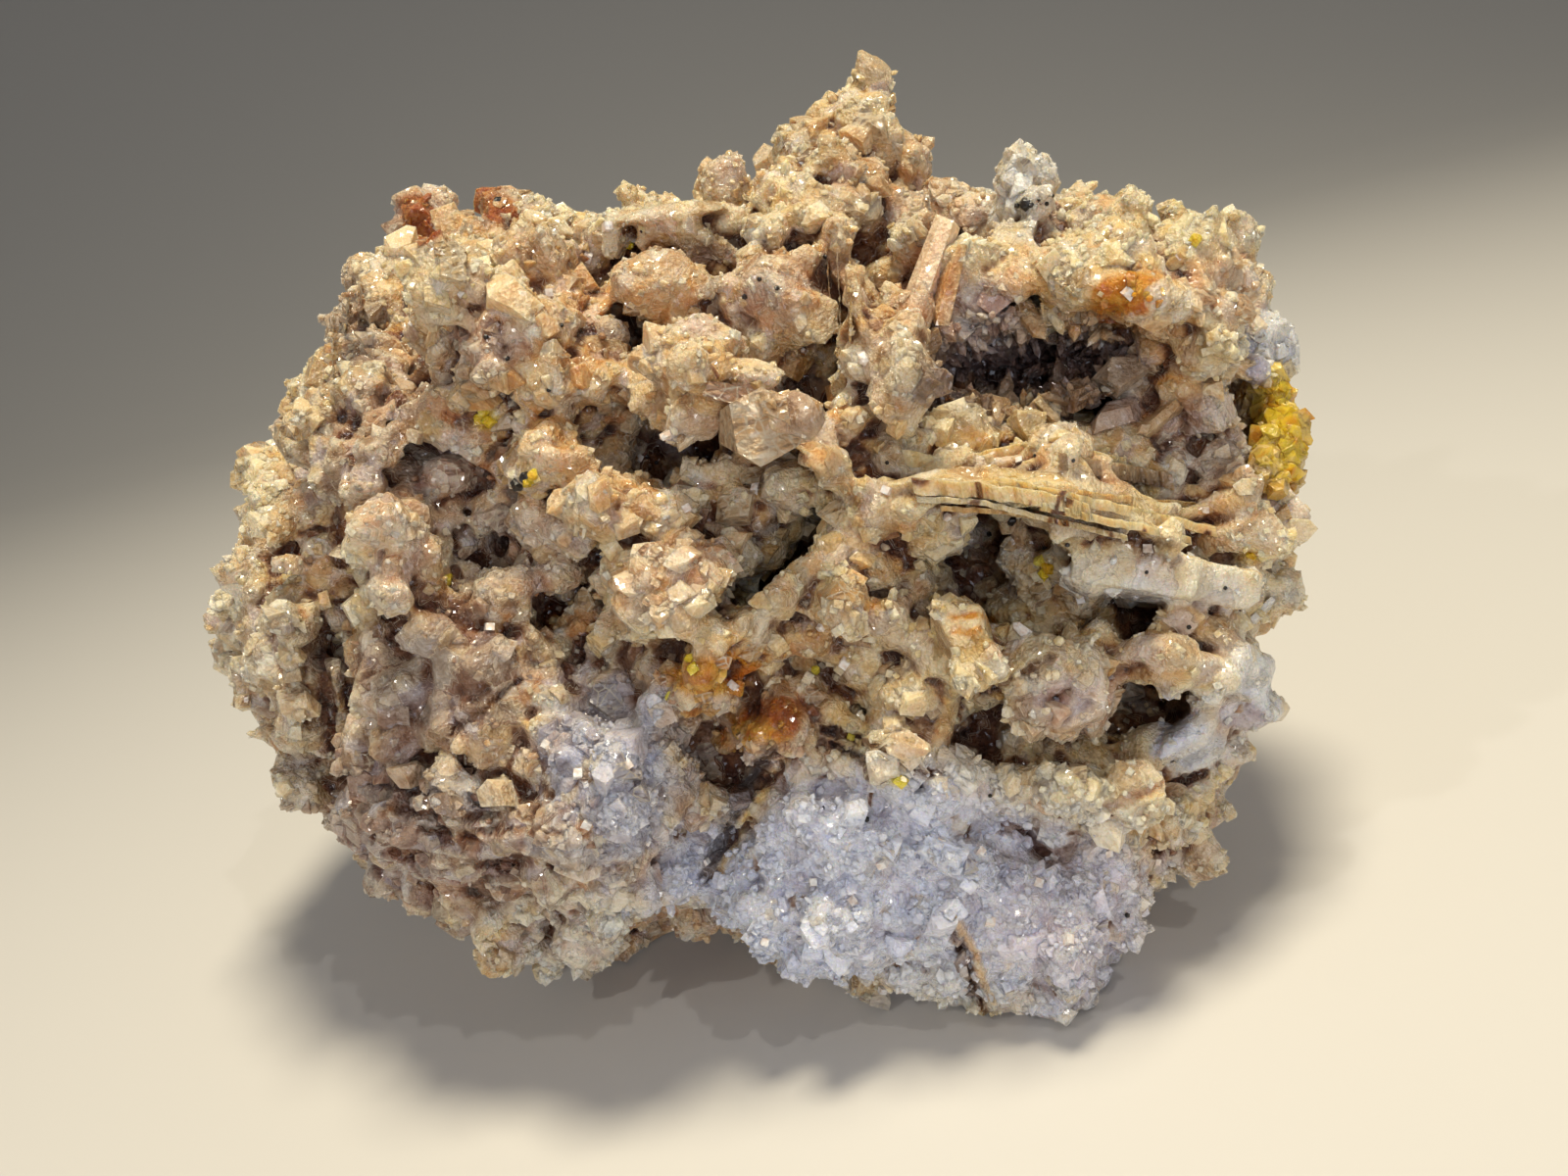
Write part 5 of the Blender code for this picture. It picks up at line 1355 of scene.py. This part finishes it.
def small_growth(piece, crystals):
    """Crystals of several habits on a finer copy: name, habit, how many, width, height over width, lean."""
    mesh = piece.data
    level = hollowness(mesh, 20)
    field = roots_of(mesh, level)
    eyeward = np.array(EYE) - field["corners"].mean(axis=1)
    eyeward /= np.linalg.norm(eyeward, axis=1, keepdims=True)
    facing = (field["outward"] * eyeward).sum(axis=1)
    weight = field["area"] * smoothstep(*FACING, facing)
    grown_here = []
    for name, habit, count, width, tall, lean in crystals:
        places, turns, sizes, picked = rooted(field, weight, count, width, tall, 0.0, lean)
        grown_here.append(grown(name, habit, places, turns, sizes, tints_at(places), field["hollow"][picked]))
    put(mesh, "tint", tints_at(coordinates(mesh)))
    put(mesh, "hollow", level)
    put(mesh, "own", cells(coordinates(mesh), 1.6)[2][:, 1])
    return grown_here


lining = finer_copy("vug_crust", "hollow_lining", 0.5, 0.2, 2.0, 0.35)
lining_crystals = small_growth(lining, [
    ("hollow_points", "blunt_point", 800, 1.0, 1.5, 0.5), ("hollow_blocks", "tilted_block", 350, 1.2, 1.0, 0.6),
    ("hollow_grains", "grain", 500, 0.55, 1.0, 0.5),
])
fluorite = finer_copy("fluorite_cluster", "fluorite_body", 0.4, 0.9, 1.8, 0.3)
fluorite_crystals = small_growth(fluorite, [
    ("fluorite_blocks", "block", 260, 1.25, 1.0, 0.5), ("fluorite_tilted", "tilted_block", 220, 1.0, 1.1, 0.5),
    ("fluorite_grains", "crumb", 500, 0.55, 1.0, 0.5),
])
print("lining:", len(lining.data.polygons), "fluorite:", len(fluorite.data.polygons), "triangles")

# %% [markdown]
# ## Materials
# Calcite lets light in and scatters it a little way down, so its edges glow and its cracks are warm instead of
# black. Subsurface scattering gives that glow. Each crystal has its own shade, tips are paler than roots, and
# the hollows hold the iron stain together with painted shade, warm a little way down and brown deep down. A
# thin coat, its direction turned another way in each small cell, makes some faces sparkle as sugar does. The
# cleaved chunk lets light through.

# %% Helpers for shader nodes
SOCKETS = {
    "roughness": "Roughness", "ior": "IOR", "see_through": "Transmission Weight",
    "glow": "Subsurface Weight", "glow_radius": "Subsurface Radius", "glow_scale": "Subsurface Scale",
}


def node(tree, kind, place, **values):
    """A new shader node with some of its settings."""
    made = tree.nodes.new(kind)
    made.location = place
    for key, value in values.items():
        setattr(made, key, value)
    return made


def attribute(tree, name, place):
    """What a mesh stores for each vertex under that name."""
    return node(tree, "ShaderNodeAttribute", place, attribute_name=name)


def math_node(tree, operation, a, b, place):
    """Arithmetic on two values, each a number or a socket."""
    made = node(tree, "ShaderNodeMath", place, operation=operation)
    for socket, value in zip(made.inputs, (a, b)):
        if isinstance(value, (int, float)):
            socket.default_value = value
        else:
            tree.links.new(value, socket)
    return made.outputs[0]


def mapped(tree, value, low, high, to_low, to_high, place):
    """A value from low to high brought softly to another range."""
    made = node(tree, "ShaderNodeMapRange", place, interpolation_type="SMOOTHSTEP")
    tree.links.new(value, made.inputs["Value"])
    for key, number in (("From Min", low), ("From Max", high), ("To Min", to_low), ("To Max", to_high)):
        made.inputs[key].default_value = number
    return made.outputs[0]


def mixed(tree, blend, factor, a, b, place):
    """Two colours mixed. Each is a tuple or a socket."""
    made = node(tree, "ShaderNodeMix", place, data_type="RGBA", blend_type=blend)
    for socket, value in ((made.inputs["Factor"], factor), (made.inputs["A"], a), (made.inputs["B"], b)):
        if isinstance(value, (int, float)):
            socket.default_value = value
        elif isinstance(value, tuple):
            socket.default_value = (*value, 1)
        else:
            tree.links.new(value, socket)
    return made.outputs["Result"]


def textured(tree, kind, scale, place, streaks=None, **values):
    """A noise or cell texture on the object's own coordinates, its scale in patterns per metre. Streaks
    are the turn and the scale that draw the pattern out."""
    where = node(tree, "ShaderNodeTexCoord", (place[0] - 400, place[1])).outputs["Object"]
    if streaks:
        stretched = node(tree, "ShaderNodeMapping", (place[0] - 200, place[1]))
        stretched.inputs["Rotation"].default_value, stretched.inputs["Scale"].default_value = streaks
        tree.links.new(where, stretched.inputs["Vector"])
        where = stretched.outputs["Vector"]
    made = node(tree, kind, place, **values)
    made.inputs["Scale"].default_value = scale
    tree.links.new(where, made.inputs["Vector"])
    return made


def new_mineral(name, **uniform):
    """A new material: itself, its tree, its shader and the tint that it reads. Uniform numbers are set
    on the shader's own sockets."""
    made = bpy.data.materials.new(name)
    made.use_nodes = True
    shader = made.node_tree.nodes["Principled BSDF"]
    for key, value in uniform.items():
        shader.inputs[SOCKETS[key]].default_value = value
    return made, made.node_tree, shader, attribute(made.node_tree, "tint", (-1400, 300)).outputs["Color"]


# %% Stain, painted shade, sugar and sparkle
# STAIN is iron stain and warm painted shade in the hollows. DEEP is brown painted shade deep in the hollows,
# and the dark of the clear chunk's streaks.
STAIN, DEEP, PALE, PALE_COOL = (
    tuple(linear(rgb)) for rgb in ((212, 148, 88), (94, 50, 24), (250, 236, 206), (238, 238, 248))
)


def deepened(tree, colour, amount, place):
    """A thicker crystal's colour: the same tint, deeper. Amount is the power it is raised to."""
    made = node(tree, "ShaderNodeGamma", place)
    tree.links.new(colour, made.inputs["Color"])
    tree.links.new(amount, made.inputs["Gamma"])
    return made.outputs["Color"]


def turned_faces(tree, scale, spread, place):
    """The surface's direction, turned another way in each small cell, as the faces of sugar are."""
    cell = textured(tree, "ShaderNodeTexVoronoi", scale, place, feature="F1").outputs["Color"]
    off = node(tree, "ShaderNodeVectorMath", (place[0] + 200, place[1]), operation="MULTIPLY_ADD")
    tree.links.new(cell, off.inputs[0])
    off.inputs[1].default_value = (2 * spread,) * 3
    off.inputs[2].default_value = (-spread,) * 3
    own = node(tree, "ShaderNodeNewGeometry", (place[0] + 200, place[1] - 200))
    both = node(tree, "ShaderNodeVectorMath", (place[0] + 400, place[1]), operation="ADD")
    tree.links.new(off.outputs[0], both.inputs[0])
    tree.links.new(own.outputs["Normal"], both.inputs[1])
    unit = node(tree, "ShaderNodeVectorMath", (place[0] + 600, place[1]), operation="NORMALIZE")
    tree.links.new(both.outputs[0], unit.inputs[0])
    return unit.outputs[0]


CALCITE_IOR, FLUORITE_IOR = 1.6, 1.43
SPARKLE_CELLS, SPARKLE_SPREAD = 2200, 0.55
SPARKLE_WEIGHT, SPARKLE_ROUGHNESS = 0.4, 0.12


def sparkle(tree, shader):
    """A thin gloss on small faces, some of which catch a lamp."""
    shader.inputs["Coat Weight"].default_value = SPARKLE_WEIGHT
    shader.inputs["Coat Roughness"].default_value = SPARKLE_ROUGHNESS
    shader.inputs["Coat IOR"].default_value = CALCITE_IOR
    facets = turned_faces(tree, SPARKLE_CELLS, SPARKLE_SPREAD, (-1100, -1700))
    tree.links.new(facets, shader.inputs["Coat Normal"])


STEP_HEIGHT, STEP_SPREAD = 0.4 * MM, 0.28


def sugary_bump(tree, shader, coarse, fine, strength):
    """Growth steps of about half a millimetre, with a finer grain on them."""
    steps = textured(tree, "ShaderNodeTexVoronoi", coarse, (-900, -500), feature="F1")
    grains = textured(tree, "ShaderNodeTexNoise", fine, (-900, -750))
    both = math_node(tree, "ADD", steps.outputs["Distance"], grains.outputs["Fac"], (-600, -600))
    bump = node(tree, "ShaderNodeBump", (-300, -500))
    bump.inputs["Strength"].default_value = strength
    bump.inputs["Distance"].default_value = STEP_HEIGHT
    tree.links.new(turned_faces(tree, coarse, STEP_SPREAD, (-1100, -2100)), bump.inputs["Normal"])
    tree.links.new(both, bump.inputs["Height"])
    tree.links.new(bump.outputs["Normal"], shader.inputs["Normal"])


# %% The calcite of the skin and the druse
def iron_in(tree, tint):
    """How much iron a tint holds, which is how warm it is, and how far it is from stained through."""
    parts = node(tree, "ShaderNodeSeparateColor", (-1200, 500))
    tree.links.new(tint, parts.inputs["Color"])
    warmth = math_node(tree, "SUBTRACT", parts.outputs["Red"], parts.outputs["Blue"], (-1000, 500))
    iron = mapped(tree, warmth, 0.02, 0.22, 0.12, 1.0, (-800, 500))
    return iron, mapped(tree, parts.outputs["Blue"], 0.02, 0.12, 0, 1, (-1000, 700))


def stained_and_shaded_in_hollows(tree, tint, hollow, mottle, iron):
    """The tint with the stain of its iron and painted shade: in patches a little way down, and brown painted
    shade deep down.
    """
    patchy = math_node(tree, "ADD", hollow, mottle, (-1000, -100))
    stained = mapped(tree, patchy, 0.6, 1.6, 0, 0.8, (-800, -100))
    stained = math_node(tree, "MULTIPLY", stained, iron, (-700, -100))
    colour = mixed(tree, "MULTIPLY", stained, tint, STAIN, (-600, 200))
    # Painted shade: brown where the skin lies deep in a hollow.
    shade_in_hollow = mapped(tree, hollow, 0.15, 1.1, 0, 0.95, (-800, -400))
    deep = math_node(tree, "MULTIPLY", shade_in_hollow, iron, (-650, -400))
    return mixed(tree, "MIX", deep, colour, DEEP, (-450, 200))


def paled(tree, colour, share, clean, pale, place):
    """Paler by a share, but where it is stained through."""
    share = math_node(tree, "MULTIPLY", share, clean, (place[0] - 200, place[1] - 400))
    return mixed(tree, "MIX", share, colour, pale, place)


def calcite(name, bump, tip_share=0.16):
    """Druse or ground: the tint, stained and darkened with painted shade in the hollows, and pale on the tips.
    """
    made, tree, shader, tint = new_mineral(
        name, ior=CALCITE_IOR, glow=0.65, glow_radius=(1.0, 0.8, 0.55), glow_scale=1.4 * MM,
    )
    hollow = attribute(tree, "hollow", (-1400, 0)).outputs["Fac"]
    mottle = textured(tree, "ShaderNodeTexNoise", 700, (-1200, -300)).outputs["Fac"]
    iron, clean = iron_in(tree, tint)
    colour = stained_and_shaded_in_hollows(tree, tint, hollow, mottle, iron)
    pale = mixed(tree, "MIX", iron, PALE_COOL, PALE, (-600, 600))
    on_edges = mapped(tree, hollow, -0.4, -1.4, 0, 0.25, (-800, -550))
    colour = paled(tree, colour, on_edges, clean, pale, (-400, 0))

    # Each crystal has a number of its own, and from it its depth of colour, its gloss and its paleness
    own = attribute(tree, "own", (-1400, -600)).outputs["Fac"]
    second, third = (
        math_node(tree, "FRACT", math_node(tree, "MULTIPLY", own, times, (-1000, y)), 0, (-900, y))
        for times, y in ((17.3, -1100), (5.7, -1300))
    )
    cloudy = mapped(tree, mottle, 0.35, 0.65, 0.8, 1.25, (-1000, -350))
    depth = math_node(tree, "MULTIPLY", mapped(tree, own, 0, 1, 1.2, 0.8, (-800, -900)), cloudy, (-650, -900))
    colour = deepened(tree, colour, depth, (-300, 200))
    height = attribute(tree, "height", (-1400, -800)).outputs["Fac"]
    on_tips = mapped(tree, height, 0.35, 1.0, 0, tip_share, (-800, -700))
    colour = paled(tree, colour, on_tips, clean, pale, (-150, 200))
    on_some = mapped(tree, third, 0.6, 1.0, 0, 0.4, (-700, -1300))
    colour = paled(tree, colour, on_some, clean, pale, (-80, 200))
    dimmed = mapped(tree, third, 0.5, 0.0, 1.0, 0.74, (-700, -1450))
    colour = mixed(tree, "MULTIPLY", 1.0, colour, dimmed, (-20, 200))
    tree.links.new(mapped(tree, second, 0.0, 0.7, 0.1, 0.45, (-700, -1100)), shader.inputs["Roughness"])
    tree.links.new(colour, shader.inputs["Base Color"])
    sugary_bump(tree, shader, 2600, 6000, bump)
    sparkle(tree, shader)
    return made


# %% Clear calcite and plain minerals
def clear_calcite(name):
    """See-through chunks: light passes them, and what is under them shows."""
    made, tree, shader, tint = new_mineral(name, ior=1.5, see_through=0.5)
    own = attribute(tree, "own", (-1000, 0)).outputs["Fac"]
    mottle = textured(tree, "ShaderNodeTexNoise", 900, (-1200, -300)).outputs["Fac"]
    depth = math_node(tree, "ADD", mapped(tree, own, 0, 1, 0.6, 0.2, (-800, 0)), mottle, (-650, 0))
    drawn_out = ((0.0, 0.5, 0.0), (1.0, 7.0, 7.0))
    streaks = textured(tree, "ShaderNodeTexNoise", 260, (-1200, -600), drawn_out).outputs["Fac"]
    cracks = textured(tree, "ShaderNodeTexVoronoi", 700, (-1200, -900), feature="DISTANCE_TO_EDGE")
    cracked = mapped(tree, cracks.outputs["Distance"], 0.0, 0.07, 0.75, 0, (-900, -900))
    colour = deepened(tree, tint, depth, (-400, 200))
    bright = mapped(tree, streaks, 0.5, 0.66, 0, 0.7, (-900, -600))
    dark = mapped(tree, streaks, 0.44, 0.36, 0, 0.6, (-900, -750))
    colour = mixed(tree, "MIX", bright, colour, PALE, (-200, 200))
    colour = mixed(tree, "MIX", dark, colour, DEEP, (-100, 300))
    colour = mixed(tree, "MIX", cracked, colour, PALE, (0, 400))
    tree.links.new(colour, shader.inputs["Base Color"])
    tree.links.new(mapped(tree, own, 0, 1, 0.06, 0.3, (-600, -200)), shader.inputs["Roughness"])
    sugary_bump(tree, shader, 1400, 4000, 0.6)
    sparkle(tree, shader)
    return made


def plain_mineral(name, roughness, glow):
    """A finish of one tint: dark grains of another mineral, or bright tips whose white is a painted highlight.
    """
    made, tree, shader, tint = new_mineral(
        name, roughness=roughness, ior=CALCITE_IOR, glow=glow, glow_radius=(1.0, 0.95, 0.9), glow_scale=MM,
    )
    mottle = textured(tree, "ShaderNodeTexNoise", 1500, (-1000, 0)).outputs["Fac"]
    stained = mapped(tree, mottle, 0.35, 0.65, 0, 0.4, (-700, 0))
    tree.links.new(mixed(tree, "MULTIPLY", stained, tint, STAIN, (-500, 200)), shader.inputs["Base Color"])
    sugary_bump(tree, shader, 3000, 8000, 0.2)
    return made


# %% The finishes on the pieces
FINISHES = {
    "calcite": calcite("calcite_druse", 0.6), "clear": clear_calcite("clear_calcite"),
    "dark": plain_mineral("dark_grains", 0.35, 0.0), "glassy": plain_mineral("bright_calcite", 0.06, 0.3),
}
ground_finish = calcite("calcite_ground", 1.0)
finished = list(druse.values())
finished += [(piece, "clear" if name == "cleaved_chunk" else "calcite") for name, piece in forms.items()]
for piece, finish in finished:
    piece.data.materials.append(FINISHES[finish])
    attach(piece, "root")
for piece in skin_parts:
    piece.data.materials.append(ground_finish)
    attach(piece, "root")
    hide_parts("calcite_mass")
print(len(finished) + len(skin_parts), "pieces of calcite finished")

# %% The finish of the hollow's lining and the fluorite
def fluorite_finish(name):
    """Lemon crystals that light passes, cloudy and honey coloured in places."""
    made, tree, shader, tint = new_mineral(
        name, roughness=0.14, see_through=0.3, ior=FLUORITE_IOR,
        glow=0.5, glow_radius=(1.0, 0.8, 0.3), glow_scale=1.5 * MM,
    )
    clouds = textured(tree, "ShaderNodeTexNoise", 450, (-1000, 0)).outputs["Fac"]
    honey = mapped(tree, clouds, 0.5, 0.68, 0, 0.85, (-800, 0))
    colour = mixed(tree, "MIX", honey, tint, tuple(TINT["amber"]), (-600, 200))
    chalky = mapped(tree, clouds, 0.46, 0.34, 0, 0.6, (-800, -200))
    colour = mixed(tree, "MIX", chalky, colour, tuple(TINT["lemon_cream"]), (-400, 200))
    tree.links.new(colour, shader.inputs["Base Color"])
    sugary_bump(tree, shader, 1600, 5000, 0.3)
    return made


lemon_finish = fluorite_finish("fluorite")
lining_finish = calcite("hollow_crystals", 0.6, 0.05)
lining_ground = calcite("hollow_ground", 0.8)
for piece in (fluorite, *fluorite_crystals):
    piece.data.materials.append(lemon_finish)
    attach(piece, "root")
for piece in (lining, *lining_crystals):
    piece.data.materials.append(lining_ground if piece is lining else lining_finish)
    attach(piece, "root")
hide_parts("fluorite_cluster")
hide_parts("vug_crust")
print(1 + len(lining_crystals), "pieces of the lining and", 1 + len(fluorite_crystals), "of fluorite finished")

# %% [markdown]
# ## Floor and light
# A plain pale floor and two soft lamps show the form without any scene of its own: a warm one overhead
# and a cool one from the front. Three small, hard lamps are what the crystal faces sparkle with.

# %% The floor
def floor_sweep(half, back, rise):
    """A floor that bends up behind, so that it has no edge in the view."""
    bm = bmesh.new()
    bmesh.ops.create_grid(bm, x_segments=2, y_segments=40, size=half)
    for vert in bm.verts:
        past = max(0.0, vert.co.y - back)
        vert.co.z = rise * past * past
    for face in bm.faces:
        face.smooth = True
    mesh = bpy.data.meshes.new("floor")
    bm.to_mesh(mesh)
    bm.free()
    obj = bpy.data.objects.new("floor", mesh)
    bpy.context.scene.collection.objects.link(obj)
    return obj


floor = floor_sweep(2.0, 0.5, 0.6)
floor_finish = bpy.data.materials.new("pale_floor")
floor_finish.use_nodes = True
floor_shader = floor_finish.node_tree.nodes["Principled BSDF"]
floor_shader.inputs["Base Color"].default_value = (0.62, 0.60, 0.57, 1)
floor_shader.inputs["Roughness"].default_value = 0.7
floor.data.materials.append(floor_finish)
print("the floor is", round(floor.dimensions.x, 1), "m wide")

# %% The lights
def lamp(name, place, size, power, tint):
    """A round lamp that looks at the specimen's middle. Power is in watts."""
    light = bpy.data.lights.new(name, "AREA")
    light.shape, light.size = "DISK", size
    light.energy = power
    light.color = tint
    obj = bpy.data.objects.new(name, light)
    aim = MIDDLE - Vector(place)
    obj.matrix_world = Matrix.Translation(place) @ aim.to_track_quat("-Z", "Y").to_matrix().to_4x4()
    bpy.context.scene.collection.objects.link(obj)
    return obj


lamp("overhead", (0.08, -0.03, 0.55), 0.14, 3.3, (1.0, 0.90, 0.68))
lamp("front_fill", (0.06, -0.60, 0.03), 0.4, 1.6, (0.78, 0.84, 1.0))
for number, place in enumerate(((0.20, -0.30, 0.50), (-0.30, -0.25, 0.35), (0.02, -0.55, 0.30))):
    lamp(f"sparkle_{number}", place, 0.012, 0.3, (1.0, 0.97, 0.92))
world = bpy.data.worlds.new("studio")
world.use_nodes = True
world.node_tree.nodes["Background"].inputs["Color"].default_value = (0.84, 0.84, 0.84, 1)
world.node_tree.nodes["Background"].inputs["Strength"].default_value = 0.18
bpy.context.scene.world = world
bpy.context.scene.view_settings.view_transform = "Standard"
print(len(bpy.data.lights), "lamps")
